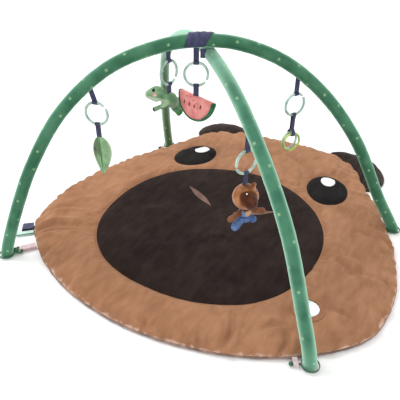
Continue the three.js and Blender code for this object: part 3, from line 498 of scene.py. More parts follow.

# Creases, listed: from, to, half width and height, where a trough is below zero. The first rows run
# in from the rim, the next cross the cheeks, and the last lie under the muzzle and on the forehead.
CREASES = [
    (-0.191, -0.290, -0.182, -0.322, 0.0045, -0.007), (-0.180, -0.288, -0.170, -0.320, 0.004, 0.004),
    (-0.156, -0.294, -0.147, -0.330, 0.0045, -0.008), (-0.144, -0.296, -0.134, -0.326, 0.004, 0.004),
    (-0.066, -0.318, -0.040, -0.336, 0.005, -0.006), (-0.020, -0.306, 0.025, -0.328, 0.006, 0.005),
    (0.004, -0.300, 0.040, -0.324, 0.005, -0.005), (0.134, -0.286, 0.148, -0.314, 0.005, -0.006),
    (0.174, -0.205, 0.188, -0.304, 0.007, -0.011), (0.190, -0.218, 0.206, -0.300, 0.008, 0.007),
    (0.160, -0.232, 0.168, -0.300, 0.009, 0.005), (0.198, -0.196, 0.210, -0.240, 0.006, -0.005),
    (0.286, -0.195, 0.298, -0.246, 0.006, -0.007), (0.300, -0.196, 0.316, -0.236, 0.006, 0.004),
    (0.237, -0.205, 0.270, -0.172, 0.009, 0.004), (0.243, -0.220, 0.290, -0.176, 0.007, -0.004),
    (-0.435, -0.205, -0.290, -0.100, 0.010, 0.008), (-0.412, -0.210, -0.290, -0.122, 0.008, -0.007),
    (-0.384, -0.226, -0.310, -0.180, 0.007, 0.006), (-0.372, -0.196, -0.290, -0.138, 0.007, -0.006),
    (-0.440, -0.150, -0.330, -0.060, 0.010, 0.006), (-0.440, -0.130, -0.320, -0.044, 0.010, -0.005),
    (-0.400, -0.060, -0.330, 0.010, 0.012, 0.004), (0.310, 0.072, 0.372, 0.024, 0.010, -0.006),
    (0.352, 0.036, 0.420, 0.044, 0.009, -0.006), (0.325, 0.084, 0.392, 0.046, 0.011, 0.005),
    (0.420, 0.050, 0.462, 0.022, 0.005, -0.007), (0.330, 0.202, 0.392, 0.195, 0.008, -0.005),
    (0.396, 0.212, 0.442, 0.166, 0.006, -0.006), (0.340, -0.100, 0.402, -0.106, 0.007, -0.005),
    (0.264, 0.016, 0.314, -0.010, 0.008, -0.004), (0.360, 0.304, 0.428, 0.246, 0.006, -0.005),
    (0.300, 0.330, 0.372, 0.300, 0.009, 0.004), (0.290, 0.130, 0.340, 0.118, 0.010, 0.004),
    (0.005, -0.034, 0.084, 0.010, 0.008, -0.006), (0.000, -0.018, 0.076, 0.024, 0.010, 0.004),
    (-0.120, -0.120, -0.020, -0.090, 0.014, 0.004), (0.080, -0.150, 0.170, -0.120, 0.012, -0.004),
    (-0.200, 0.010, -0.120, 0.040, 0.016, 0.004), (0.120, 0.060, 0.200, 0.090, 0.014, -0.004),
    (-0.170, 0.530, -0.060, 0.394, 0.014, -0.006), (-0.140, 0.540, -0.030, 0.410, 0.012, 0.005),
    (0.030, 0.500, 0.118, 0.396, 0.014, 0.006), (0.050, 0.510, 0.140, 0.410, 0.012, -0.005),
    (-0.060, 0.560, -0.020, 0.440, 0.014, 0.004), (-0.240, 0.520, -0.200, 0.470, 0.010, -0.005),
    (-0.100, 0.600, -0.070, 0.540, 0.008, -0.004), (0.020, 0.610, 0.030, 0.540, 0.008, -0.004),
    (0.120, 0.600, 0.130, 0.540, 0.008, 0.004), (-0.283, 0.400, -0.230, 0.411, 0.009, -0.005),
    (0.170, 0.476, 0.246, 0.434, 0.009, -0.005), (0.190, 0.500, 0.262, 0.452, 0.010, 0.004),
    (-0.350, 0.300, -0.300, 0.330, 0.010, 0.004), (-0.400, 0.160, -0.340, 0.180, 0.010, -0.004),
]


def crease_height(points):
    """How far the listed creases lift or sink each point."""
    lift = np.zeros(len(points))
    for x0, y0, x1, y1, wide, high in CREASES:
        run = np.array([x1 - x0, y1 - y0])
        away = points[:, :2] - (x0, y0)
        share = away @ run / (run @ run)
        beside = (away @ (-run[1], run[0])) / np.linalg.norm(run)
        bent = beside - 0.12 * np.linalg.norm(run) * np.sin(math.pi * np.clip(share, 0, 1))
        ends = np.clip(1 - np.abs(share - 0.5) * 1.7, 0, 1) ** 0.7
        lift += high * ends * np.exp(-(bent / wide) ** 2)
    return lift * CREASE_STRENGTH


laid = corners_of(padded_top)
face = laid - FACE
top = np.clip((face[:, 2] - 0.012) / 0.008, 0, 1)
relief = crease_height(face) + wander(face, 0.15, 5.3) * 0.0030 + wander(face, 0.045, 2.2) * 0.0013
# Beside the stitching of the muzzle and the eyes the filling is held down
relief -= 0.0030 * np.exp(-(near_muzzle(face) / 0.0055) ** 2)
rim_steps = np.array([np.argmin(np.hypot(rim[:, 0] - x, rim[:, 1] - y)) for x, y in face[:, :2]])
in_from_rim = np.hypot(*(rim[rim_steps] - face[:, :2]).T)
puckers = wander(rim, 0.012, 7.7) * 0.6 + wander(rim, 0.024, 1.9) * 0.6
across_puckers = (in_from_rim - PUCKERS["in_from_rim"]) / PUCKERS["wide"]
relief += puckers[rim_steps] * PUCKERS["high"] * np.exp(-across_puckers ** 2)
for side in (-1, 1):
    relief -= 0.0026 * np.exp(-(near_eye(face, side) / 0.005) ** 2)
laid[:, 2] += top * relief
move_corners(padded_top, laid)
fitted(padded_top, "tan_velour", "mat_pad")


# Backing
# A smooth pinkish-brown cloth under the mat. It comes up round the filling to the side seam, so
# it shows as a narrow, wrinkled band below the velour.

BACKING_OUTER = [(0.0100, 0.0), (0.0030, 0.0003), (0.0002, 0.0018), (-0.0014, 0.0044),
                 (-0.0012, 0.0070), (0.0002, 0.0084)]
BACKING_INNER = [(0.0018, 0.0078), (0.0006, 0.0046), (0.0020, 0.0022), (0.0042, 0.0014), (0.0100, 0.0013)]


def backing_finish():
    material, tree, shader = new_finish("backing_cloth", {"Roughness": 0.62, "Sheen Weight": 0.2})
    place = tree.own_place()
    weave = tree.node("ShaderNodeTexWave", {"bands_direction": "DIAGONAL"},
                      {"Vector": place, "Scale": 260, "Distortion": 0.4})
    soil = place.noise(30, 4)
    tree.mixed(dye(104, 80, 72), dye(164, 132, 120), soil.step(0.3, 0.7)).into(shader, "Base Color")
    weave.raises(shader, 0.2, 0.0004)
    return material


backing_rings = []
for inset, height in BACKING_OUTER + BACKING_INNER:
    loose = 0.0016 * math.sin(math.pi * min(height / 0.0084, 1))
    offset = inset + (wander(rim, 0.013, 6.6) + 0.6 * wander(rim, 0.03, 1.6)) * loose
    backing_rings.append(np.column_stack([rim + rim_inward * offset[:, None], np.full(AROUND, height)]))
backing = fitted(sewn("backing", *skin(backing_rings), backing_finish()), "backing_cloth", "mat_backing")
mat_area = 0.5 * abs(np.sum(rim[:, 0] * np.roll(rim[:, 1], -1) - np.roll(rim[:, 0], -1) * rim[:, 1]))
rim_size = rim.max(axis=0) - rim.min(axis=0)
# What is turned up to the seam adds to the laid cloth's size and area
TURNED_UP = 0.008
tuple(rim_size + 2 * TURNED_UP)


# Muzzle, nostrils and eyes
# Thin velour patches sewn flat on the top: a dark brown muzzle with two mauve nostrils, and two black
# eyes with a white light in each. Their edges are turned under and stitched.

drape = bpy.context.evaluated_depsgraph_get()
top_surface = BVHTree.FromObject(padded_top, drape)


def surface_height(surface, x, y):
    """The height of a surface under a point of the face."""
    hit = surface.ray_cast(Vector((x + FACE.x, y + FACE.y, 0.2)), Vector((0, 0, -1)))[0]
    return hit.z


def sewn_patch(name, edge, surface, thick, rows, material, crown=0.0):
    """A patch within the edge points, draped on the surface, with its rim rounded under."""
    middle = edge.mean(axis=0)
    size = np.linalg.norm(edge - middle, axis=1).mean()
    shares = [1 - 0.0006 / size, 1.0, 1 - 0.0006 / size, 1 - 0.002 / size]
    lifts = [0.0003, 0.0003 + thick * 0.4, thick * 0.85, thick]
    inner = np.linspace(shares[-1], 0.02, rows)[1:]
    shares += list(inner)
    lifts += [thick + crown * (1 - share ** 4) for share in inner]
    rings = []
    for share, lift in zip(shares, lifts):
        ring = middle + (edge - middle) * share
        rings.append([(x, y, surface_height(surface, x, y) + lift) for x, y in ring])
    under = [[(x, y, surface_height(surface, x, y) + 0.0003) for x, y in middle + (edge - middle) * share]
             for share in (0.05, 0.35, 0.7)]
    return sewn(name, *skin(under + rings), material)


brown_velour = velour("brown_velour", dye(30, 21, 18), dye(49, 38, 35), 0.09, dye(150, 135, 130))
black_velour = velour("black_velour", dye(22, 20, 20), dye(38, 35, 34), 0.08, dye(130, 130, 130))
white_velour = velour("white_velour", dye(225, 222, 220), dye(246, 244, 242), 0.2, dye(255, 255, 255))
mauve_velour = velour("mauve_velour", dye(104, 78, 72), dye(132, 102, 94), 0.2, dye(200, 180, 175))

muzzle_outline = oval_place(MUZZLE, steps_round(200))
muzzle = sewn_patch("muzzle_patch", muzzle_outline, top_surface, 0.0014, 44, brown_velour)
fitted(muzzle, "brown_velour", "muzzle")


def polygon_area(edge):
    following = np.roll(edge, -1, axis=0)
    return 0.5 * abs(np.sum(edge[:, 0] * following[:, 1] - following[:, 0] * edge[:, 1]))


def declare_patch(edge, size=None):
    size = edge.max(axis=0) - edge.min(axis=0) if size is None else size
    polygon_area(edge)


declare_patch(muzzle_outline)
muzzle_surface = BVHTree.FromObject(muzzle, bpy.context.evaluated_depsgraph_get())

EYE_LIGHTS = {"apart": 0.214, "y": 0.407, "wide": 0.021, "tall": 0.028}
NOSTRILS = {"middle": -0.009, "outer": (0.137, 0.184), "inner": (0.032, 0.120), "half_wide": 0.010}


def leaning_oval(x, y, wide, tall, lean, count):
    angles = steps_round(count)
    across, along = turned(wide * np.cos(angles), tall * np.sin(angles), math.radians(lean))
    return np.column_stack([x + across, y + along])


def lens(start, end, half_wide, count):
    start, end = np.array(start), np.array(end)
    run = end - start
    across = np.array([-run[1], run[0]]) / np.linalg.norm(run)
    there = np.linspace(0, 1, count, endpoint=False)
    shares = np.concatenate([there, 1 - there])
    sides = np.repeat([1.0, -1.0], count)
    return start + shares[:, None] * run + (sides * half_wide * np.sin(math.pi * shares))[:, None] * across


for side_name, side in (("left", -1), ("right", 1)):
    lean = side * EYES["lean"]
    eye_edge = leaning_oval(EYES["middle"] + side * EYES["apart"], EYES["y"], EYES["wide"], EYES["tall"],
                            lean, 72)
    eye = sewn_patch(f"eye_patch_{side_name}", eye_edge, top_surface, 0.0014, 14, black_velour, 0.0008)
    fitted(eye, "black_velour", f"eye_{side_name}")
    declare_patch(eye_edge)
    eye_surface = BVHTree.FromObject(eye, bpy.context.evaluated_depsgraph_get())
    light_edge = leaning_oval(EYES["middle"] + side * EYE_LIGHTS["apart"], EYE_LIGHTS["y"],
                              EYE_LIGHTS["wide"], EYE_LIGHTS["tall"], lean, 48)
    light = sewn_patch(f"eye_light_patch_{side_name}", light_edge, eye_surface, 0.0013, 8, white_velour,
                       0.0005)
    fitted(light, "white_velour", f"eye_light_{side_name}")
    declare_patch(light_edge)
    outer, inner = NOSTRILS["outer"], NOSTRILS["inner"]
    nostril_edge = lens((NOSTRILS["middle"] + side * outer[0], outer[1]),
                        (NOSTRILS["middle"] + side * inner[0], inner[1]), NOSTRILS["half_wide"], 30)
    nostril = sewn_patch(f"nostril_patch_{side_name}", nostril_edge, muzzle_surface, 0.0013, 6,
                         mauve_velour, 0.0005)
    fitted(nostril, "mauve_velour", f"nostril_{side_name}")
    nostril_long = math.dist(outer, inner)
    declare_patch(nostril_edge, (2 * NOSTRILS["half_wide"], nostril_long))


# Mirror
# A small round mirror film in a padded ring of the same tan velour, stitched down along a groove.

MIRROR = {"x": 0.309, "y": -0.118, "radius": 0.0245, "ring_inner": 0.0245, "ring_outer": 0.037}
MIRROR_RING = [(0.0246, 0.0004), (0.0246, 0.0014), (0.0256, 0.0026), (0.0277, 0.0031), (0.0298, 0.0026),
               (0.0312, 0.0013), (0.0326, 0.0024), (0.0344, 0.0027), (0.0362, 0.0016), (0.0371, 0.0003)]


def round_edge(x, y, radius, count):
    return leaning_oval(x, y, radius, radius, 0, count)


def mirror_finish():
    material, tree, shader = new_finish("mirror_film", {"Metallic": 1.0, "Coat Weight": 0.5})
    place = tree.own_place()
    haze = place.noise(60, 3)
    tree.mixed(dye(225, 228, 230), dye(244, 246, 247), haze).into(shader, "Base Color")
    (haze * 0.1 + 0.06).into(shader, "Roughness")
    haze.raises(shader, 0.25, 0.002)
    return material


mirror_edge = round_edge(MIRROR["x"], MIRROR["y"], MIRROR["radius"] - 0.0005, 64)
mirror = sewn_patch("mirror_disc", mirror_edge, top_surface, 0.0010, 8, mirror_finish())
fitted(mirror, "mirror_film", "mirror")
ring_rings = []
for radius, height in MIRROR_RING + [(0.0365, 0.0002), (0.0250, 0.0002)]:
    edge = round_edge(MIRROR["x"], MIRROR["y"], radius, 96)
    ring_rings.append([(x, y, surface_height(top_surface, x, y) + height) for x, y in edge])


def band(rings):
    """Corners and faces of a closed loop of rings, such as a hoop's, with no ends."""
    count = len(rings[0])
    corners = [tuple(corner) for ring in rings for corner in ring]
    faces = []
    for ring in range(len(rings)):
        following = (ring + 1) % len(rings)
        for step in range(count):
            beside = (step + 1) % count
            faces.append((ring * count + step, ring * count + beside,
                          following * count + beside, following * count + step))
    return corners, faces


mirror_ring = sewn("mirror_padded_ring", *band(ring_rings), tan_velour)
fitted(mirror_ring, "tan_velour", "mirror_ring")


# Ears
# Two stuffed half-round ears sewn to the edge beside the forehead. They lie on the floor.

EARS = {"gap": 0.0034, "tall": 0.086, "thick": 0.0165,
        "left": ((-0.150, 0.626), (-0.290, 0.528)), "right": ((0.150, 0.626), (0.306, 0.449))}
EAR_SECTION = [(0, 0.02), (0.3, 0.0), (0.6, 0.0), (0.88, 0.0), (0.97, 0.12), (1.0, 0.32), (0.97, 0.56),
               (0.9, 0.78), (0.78, 0.94), (0.6, 1.0), (0.42, 0.93), (0.25, 0.74), (0.1, 0.46), (0, 0.3)]
ear_velour = velour("ear_velour", dye(28, 21, 19), dye(54, 44, 41), 0.3, dye(190, 175, 165))


def rim_step_near(x, y):
    return int(np.argmin(np.hypot(rim[:, 0] - x, rim[:, 1] - y)))


def on_rim(step, inset):
    """A point of the outline at a step, which may be a fraction, moved in by the inset."""
    low = int(math.floor(step)) % AROUND
    share = step - math.floor(step)
    place = rim[low] * (1 - share) + rim[(low + 1) % AROUND] * share
    inward = rim_inward[low] * (1 - share) + rim_inward[(low + 1) % AROUND] * share
    return place + inward * inset


for side_name, side in (("left", -1), ("right", 1)):
    first, last = (rim_step_near(*place) for place in EARS[side_name])
    ear_rings = []
    for place in np.linspace(-0.97, 0.97, 33):
        arc = math.sqrt(1 - place * place)
        step = first + (last - first) * (place + 1) / 2
        thick = EARS["thick"] * (0.4 + 0.6 * arc)
        ear_rings.append([(*on_rim(step, -EARS["gap"] - out * EARS["tall"] * arc), up * thick)
                          for out, up in EAR_SECTION])
    ear = sewn(f"stuffed_ear_{side_name}", *skin(ear_rings), ear_velour)
    heights = corners_of(ear)[:, 2]
    on_floor = np.where(heights < 0.0004, 1.0, 0.0)
    fill_out(ear, pressure=2.0, furthest=0.003, held=on_floor, slack=0.03)
    rounding = ear.modifiers.new("rounding", "SUBSURF")
    rounding.levels = rounding.render_levels = 1
    settle(ear)
    puffed = corners_of(ear)
    rise = np.clip(puffed[:, 2] / 0.006, 0, 1)
    puffed[:, 2] += rise * (wander(puffed, 0.035, 4.0 + side) * 0.0022 + wander(puffed, 0.014, 9.0) * 0.0007)
    puffed[:, 2] = np.maximum(puffed[:, 2], 0)
    move_corners(ear, puffed)
    fitted(ear, "brown_velour", f"ear_{side_name}")


# Arches
# Two bendy poles in padded sleeves of green cloth with small pale stars. They cross at the top, and
# each foot stands on the floor just outside the mat.

SLEEVE_RADIUS = 0.014
ARCH_OVER = {
    "from": (-0.403, -0.281), "to": (0.422, 0.292), "lean": 0.042,
    "line": [(0, 0), (0.014, 0.044), (0.057, 0.150), (0.102, 0.242), (0.183, 0.361), (0.292, 0.451),
             (0.405, 0.492), (0.482, 0.500), (0.562, 0.492), (0.665, 0.452), (0.763, 0.376),
             (0.856, 0.262), (0.944, 0.100), (0.988, 0.028), (1.004, 0)]}
ARCH_UNDER = {
    "from": (0.355, -0.237), "to": (-0.362, 0.424), "lean": 0.044,
    "line": [(0, 0), (0.012, 0.045), (0.037, 0.102), (0.104, 0.242), (0.199, 0.341), (0.330, 0.427),
             (0.462, 0.469), (0.560, 0.476), (0.678, 0.456), (0.785, 0.411), (0.872, 0.350),
             (0.926, 0.250), (0.966, 0.130), (0.977, 0.050), (0.975, 0)]}


def arch_line(arch, count):
    """The arch's centre line from foot to foot, its run over the floor, and the level across it."""
    start = np.array(arch["from"])
    run = np.array(arch["to"]) - start
    run = run / np.linalg.norm(run)
    aside = np.array([-run[1], run[0]])
    highest = max(height for along, height in arch["line"])
    places = []
    for along, height in arch["line"]:
        spot = start + run * along + aside * arch["lean"] * height / highest
        places.append((*spot, height))
    return smooth_line(places, False, count), np.array([*run, 0]), np.array([*aside, 0])


def new_rule(name, sizes):
    """A Geometry Nodes tree with named inputs, and a Socket for each input."""
    tree = bpy.data.node_groups.new(name, "GeometryNodeTree")
    tree.interface.new_socket("Geometry", in_out="INPUT", socket_type="NodeSocketGeometry")
    for label, kind in sizes.items():
        tree.interface.new_socket(label, in_out="INPUT", socket_type="NodeSocket" + kind)
    tree.interface.new_socket("Geometry", in_out="OUTPUT", socket_type="NodeSocketGeometry")
    entry = tree.nodes.new("NodeGroupInput")
    return tree, {socket.name: Socket(tree, socket) for socket in entry.outputs if socket.name}


def end_rule(tree, shape, material):
    """Ends the tree: real geometry with the stated material."""
    real = shape.node("GeometryNodeRealizeInstances", {}, {"Geometry": shape})
    painted = real.node("GeometryNodeSetMaterial", {}, {"Geometry": real, "Material": material})
    leave = tree.nodes.new("NodeGroupOutput")
    tree.links.new(painted.output, leave.inputs[0])


def follow_rule(obj, tree, values):
    """Gives the object the tree's result, with the named inputs set before it is evaluated."""
    rule = obj.modifiers.new("rule", "NODES")
    rule.node_group = tree
    for item in tree.interface.items_tree:
        if item.in_out == "INPUT" and item.name in values:
            rule[item.identifier] = values[item.name]
    return settle(obj)


def sleeve_cloth(name, dark, light, pale, low, high, painted_far_arm_shade=None):
    """Brushed green knit with a small soft star in each cell of the sleeve, read from the place along
    and around it. Its edges take a painted pale sheen from low to high, and towards its far foot it may take
    painted shade, olive with light from the tan mat."""
    material, tree, shader = new_finish(name, {
        "Specular IOR Level": 0.2, "Sheen Weight": 0.6, "Sheen Roughness": 0.35, "Sheen Tint": pale})
    sleeve = tree.node("ShaderNodeAttribute", {"attribute_name": "sleeve"}, output="Vector")
    along, turn_x, turn_y = sleeve.parts()
    around = tree.math("ARCTAN2", turn_y, turn_x) / (2 * math.pi) + 0.5
    cell_long, cells_round, girth = 0.047, 3, 2 * math.pi * SLEEVE_RADIUS
    row = tree.math("FLOOR", along / cell_long)
    shifted = around * cells_round + row * 0.37
    column = tree.math("FLOOR", shifted)
    cell = row * 12.9898 + tree.math("MODULO", column, cells_round) * 4.1
    jitter = tree.math("FRACT", tree.math("SINE", cell) * 4375.5)
    x = (shifted - column - 0.5) * (girth / cells_round) + (jitter - 0.5) * 0.006
    y = (along / cell_long - row - 0.5) * cell_long + (0.5 - jitter) * 0.008
    angle = tree.math("ARCTAN2", y, x) + jitter * 2
    reach = tree.math("SQRT", x * x + y * y)
    point = tree.math("ABSOLUTE", tree.math("FRACT", angle * (5 / (2 * math.pi)) + 10) - 0.5) * 2
    star = 1 - (reach / (0.0020 + point * 0.0018)).step(0.6, 1.4)
    place = tree.own_place()
    cloud = place.noise(22, 3)
    knit = place.noise(700, 2)
    green = tree.mixed(dark, light, cloud.step(0.3, 0.7))
    if painted_far_arm_shade is not None:
        # Painted shade, olive with light from the tan mat, down the far arm
        green = tree.mixed(green, painted_far_arm_shade, along.step(0.75, 1.0) * 0.85)
    tree.mixed(green, dye(186, 222, 170), star * 0.45).into(shader, "Base Color")
    (0.82 - knit * 0.2).into(shader, "Roughness")
    knit.raises(shader, 0.25, 0.0006)
    bloom(material, tree, shader, pale, low, high)
    return material


def sleeve_rule():
    """A round sleeve along a line: drawn in at its ends, a little uneven, and flat on the floor."""
    tree, size = new_rule("padded_sleeve", {
        "Radius": "Float", "Step": "Float", "Sides": "Int", "Unevenness": "Float", "Material": "Material"})
    line = size["Geometry"].node("GeometryNodeMeshToCurve", {}, {"Mesh": size["Geometry"]})
    line = line.node("GeometryNodeResampleCurve", {"mode": "LENGTH"}, {"Curve": line, "Length": size["Step"]})
    spline = line.node("GeometryNodeSplineParameter", output="Length")
    length = line.node("GeometryNodeSplineLength", output="Length")
    end = spline.math("MINIMUM", spline, length - spline)
    line = line.node("GeometryNodeSetCurveRadius", {}, {
        "Curve": line, "Radius": size["Radius"] * (0.78 + end.step(0, 0.006) * 0.22)})
    line = line.node("GeometryNodeStoreNamedAttribute", {"data_type": "FLOAT", "domain": "POINT"},
                     {"Geometry": line, "Name": "along", "Value": spline})
    hoop = line.node("GeometryNodeCurvePrimitiveCircle", {}, {"Resolution": size["Sides"], "Radius": 1.0})
    spot = hoop.node("GeometryNodeInputPosition")
    hoop = hoop.node("GeometryNodeStoreNamedAttribute", {"data_type": "FLOAT_VECTOR", "domain": "POINT"},
                     {"Geometry": hoop, "Name": "turn", "Value": spot})
    body = line.node("GeometryNodeCurveToMesh", {}, {
        "Curve": line, "Profile Curve": hoop, "Scale": line.node("GeometryNodeInputRadius"),
        "Fill Caps": True})
    along = body.node("GeometryNodeInputNamedAttribute", {"data_type": "FLOAT"}, {"Name": "along"})
    turn = body.node("GeometryNodeInputNamedAttribute", {"data_type": "FLOAT_VECTOR"}, {"Name": "turn"})
    turn_x, turn_y = turn.parts()[:2]
    sleeve = body.node("ShaderNodeCombineXYZ", {}, {0: along, 1: turn_x, 2: turn_y})
    body = body.node("GeometryNodeStoreNamedAttribute", {"data_type": "FLOAT_VECTOR", "domain": "POINT"},
                     {"Geometry": body, "Name": "sleeve", "Value": sleeve})
    where = body.node("GeometryNodeInputPosition")
    bumps = where.noise(70, 2) - 0.5
    outward = body.node("GeometryNodeInputNormal")
    push = body.node("ShaderNodeVectorMath", {"operation": "SCALE"},
                     {0: outward, "Scale": bumps * size["Unevenness"]})
    body = body.node("GeometryNodeSetPosition", {}, {"Geometry": body, "Offset": push})
    below = where.parts()[2] * -1
    lift = body.node("ShaderNodeCombineXYZ", {}, {2: below.math("MAXIMUM", below, 0.0)})
    body = body.node("GeometryNodeSetPosition", {}, {"Geometry": body, "Offset": lift})
    end_rule(tree, body, size["Material"])
    return tree


def thread_line(name, points):
    """A bare line in the face's layout, for a rule to follow."""
    mesh = bpy.data.meshes.new(name)
    mesh.from_pydata([tuple(FACE + Vector(point)) for point in points],
                     [(step, step + 1) for step in range(len(points) - 1)], [])
    obj = bpy.data.objects.new(name, mesh)
    scene.collection.objects.link(obj)
    return obj


deep_green = sleeve_cloth("green_print", dye(50, 102, 74), dye(76, 128, 98), dye(150, 196, 172), 0.25, 1.0)
# The under arch's last colour is the painted olive shade of its far arm
light_green = sleeve_cloth("light_green_print", dye(50, 104, 80), dye(78, 134, 106), dye(170, 212, 188),
                           0.1, 0.8, dye(84, 98, 64))
padded_sleeve = sleeve_rule()
for arch_name, arch, green_print in (("arch_over", ARCH_OVER, deep_green),
                                     ("arch_under", ARCH_UNDER, light_green)):
    line = thread_line(f"{arch_name}_sleeve", arch_line(arch, 200)[0])
    sleeve = follow_rule(line, padded_sleeve, {
        "Radius": SLEEVE_RADIUS, "Step": 0.005, "Sides": 28, "Unevenness": 0.0012, "Material": green_print})
    fitted(sleeve, "green_print", arch_name)


# Crossing cover
# A navy cloth wrapped over the crossing and closed below by a short tab.

# The cover is wrapped askew: its ends move along the arch by the skews between its top and each side
COVER = {"from": 0.457, "to": 0.506, "from_skew": 0.010, "to_skew": 0.017, "half": math.radians(122),
         "clear": 0.0008, "thick": 0.0018, "long": 0.060}


def ribbon_cloth(name, dark, light):
    """Narrow woven ribbon: fine ribs across it, a soft satin shine, and a painted satin highlight in its
    paler patches.
    """
    material, tree, shader = new_finish(name, {
        "Sheen Weight": 0.35, "Sheen Roughness": 0.3, "Specular IOR Level": 0.4})
    place = tree.own_place()
    ribs = tree.node("ShaderNodeTexWave", {"bands_direction": "Z"},
                     {"Vector": place, "Scale": 320, "Distortion": 0.6})
    wear_and_sheen = place.noise(120, 3)
    # The light colour is a painted satin highlight, laid in patches by the same noise as the wear on the
    # roughness
    tree.mixed(dark, light, (wear_and_sheen * 0.7 + ribs * 0.3).step(0.3, 0.75)).into(shader, "Base Color")
    (0.62 - wear_and_sheen * 0.2).into(shader, "Roughness")
    ribs.raises(shader, 0.3, 0.0003)
    return material


navy_ribbon = ribbon_cloth("navy_ribbon", dye(34, 36, 62), dye(72, 74, 114))
over_line, over_run, over_aside = arch_line(ARCH_OVER, 600)
over_reach = (over_line - over_line[0]) @ over_run


def cover_point(share, turn, away):
    """A point of the cover: share runs along it, turn from its near edge -1 to its far edge 1."""
    start = COVER["from"] + COVER["from_skew"] * turn
    end = COVER["to"] + COVER["to_skew"] * turn
    step = int(np.argmin(np.abs(over_reach - (start + (end - start) * share))))
    forward = over_line[step + 1] - over_line[step]
    forward = forward / np.linalg.norm(forward)
    upward = np.cross(over_aside, forward)
    upward = upward * np.sign(upward[2]) / np.linalg.norm(upward)
    side = np.cross(upward, forward)
    angle = COVER["half"] * turn
    return over_line[step] + away * (math.cos(angle) * upward + math.sin(angle) * side)


cover_rings = []
inner = SLEEVE_RADIUS + COVER["clear"]
for share in np.linspace(0, 1, 24):
    outer = inner + COVER["thick"] + 0.0012 * math.sin(math.pi * share)
    ring = [cover_point(share, turn, outer + 0.0005 * math.sin(22 * share + 5 * turn))
            for turn in np.linspace(-1, 1, 31)]
    ring += [cover_point(share, turn, inner) for turn in np.linspace(1, -1, 31)]
    cover_rings.append(ring)
cover = sewn("crossing_wrap", *skin(cover_rings), navy_ribbon)
fitted(cover, "navy_ribbon", "crossing_cover")


def strap(path, wide, thick, across):
    """Corners and faces of a flat band along a path. wide is one width or one for each point, and
    across is the level direction of its width."""
    path = np.array(path, float)
    across = np.array(across, float)
    widths = np.broadcast_to(wide, len(path))
    angles = steps_round(12)
    flat = np.sign(np.cos(angles)) * np.abs(np.cos(angles)) ** 0.4
    deep = np.sign(np.sin(angles)) * np.abs(np.sin(angles)) ** 0.7
    rings = []
    for step, place in enumerate(path):
        forward = path[min(step + 1, len(path) - 1)] - path[max(step - 1, 0)]
        facing = np.cross(forward, across)
        facing = facing / np.linalg.norm(facing)
        rings.append(place + np.outer(flat * widths[step] / 2, across) + np.outer(deep * thick / 2, facing))
    return skin(rings)


def level(degrees):
    """The level direction at those degrees from the mat's right."""
    angle = math.radians(degrees)
    return np.array([math.cos(angle), math.sin(angle), 0])


TAB = {"x": -0.028, "y": 0.034, "top": 0.482, "bottom": 0.463, "wide": 0.012, "turn": 28}
tab_across = level(TAB["turn"])
tab_path = [(TAB["x"], TAB["y"], z) for z in np.linspace(TAB["top"], TAB["bottom"], 10)]
tab = sewn("crossing_closure", *strap(tab_path, TAB["wide"], 0.0024, tab_across), navy_ribbon)
fitted(tab, "navy_ribbon", "crossing_tab")


# Hanging rings and ribbons
# Each toy hangs from a navy ribbon loop sewn to the sleeve, an open ring of smooth pale plastic, and a
# second ribbon folded round the ring and sewn into the toy.

RING = {"radius": 0.0254, "bar": 0.0031, "gap": 11}
RIBBON = {"wide": 0.012, "thick": 0.0011, "eye": 0.0041}
HANGERS = {
    "leaf": {"arch": ARCH_OVER, "x": -0.2165, "y": -0.1037, "ring": 0.349, "turn": 15, "open": 38,
             "foot": 0.293, "sway": -0.009},
    "lizard": {"arch": ARCH_OVER, "x": -0.0875, "y": -0.0082, "ring": 0.434, "turn": 80, "open": 320,
               "foot": 0.389},
    "melon": {"arch": ARCH_OVER, "x": -0.0405, "y": 0.0268, "ring": 0.428, "turn": 28, "open": 325,
              "foot": 0.374},
    "plush": {"arch": ARCH_UNDER, "x": 0.129, "y": -0.073, "ring": 0.307, "turn": 62, "open": 200,
              "foot": 0.254},
    "teether": {"arch": ARCH_OVER, "x": 0.147, "y": 0.155, "ring": 0.352, "turn": 55, "open": 40,
                "foot": 0.281},
}


def smooth_plastic(name, dark, light):
    """Moulded plastic, glossy, with a little light inside and faint wear."""
    material, tree, shader = new_finish(name, {
        "Specular IOR Level": 0.6, "Coat Weight": 0.7, "Coat Roughness": 0.08, "Subsurface Weight": 0.15,
        "Subsurface Scale": 0.004})
    place = tree.own_place()
    cloud = place.noise(60, 2)
    scuffs = place.noise(400, 3)
    tree.mixed(dark, light, cloud.step(0.3, 0.7)).into(shader, "Base Color")
    (scuffs * 0.18 + 0.16).into(shader, "Roughness")
    scuffs.raises(shader, 0.08, 0.0004)
    return material


def tube(path, radii, sides=14):
    """Corners and faces of a round bar along a path, with a radius for each point."""
    path = np.array(path, float)
    radii = np.broadcast_to(radii, len(path))
    angles = steps_round(sides)
    side = None
    rings = []
    for step, place in enumerate(path):
        forward = path[min(step + 1, len(path) - 1)] - path[max(step - 1, 0)]
        forward = forward / np.linalg.norm(forward)
        if side is None:
            side = np.cross(forward, (0, 0, 1) if abs(forward[2]) < 0.9 else (1, 0, 0))
        side = side - forward * (side @ forward)
        side = side / np.linalg.norm(side)
        other = np.cross(forward, side)
        rings.append(place + radii[step] * (np.outer(np.cos(angles), side) + np.outer(np.sin(angles), other)))
    return skin(rings)


def fold_path(eye_height, end_height, x, y, normal):
    """The line of a ribbon from its sewn end, round the ring's bar, and back."""
    way = 1 if eye_height > end_height else -1
    apart = RIBBON["thick"] / 2 + 0.0002
    neck = math.asin(apart / RIBBON["eye"])
    stem = np.linspace(end_height, eye_height - way * RIBBON["eye"] * math.cos(neck), 10)
    angles = np.linspace(math.pi + neck, 3 * math.pi - neck, 20) - math.pi
    places = [(apart, z) for z in stem[:-1]]
    places += [(RIBBON["eye"] * math.sin(a), eye_height - way * RIBBON["eye"] * math.cos(a)) for a in angles]
    places += [(-apart, z) for z in stem[::-1][1:]]
    return [np.array([x, y, z]) + normal * t for t, z in places]


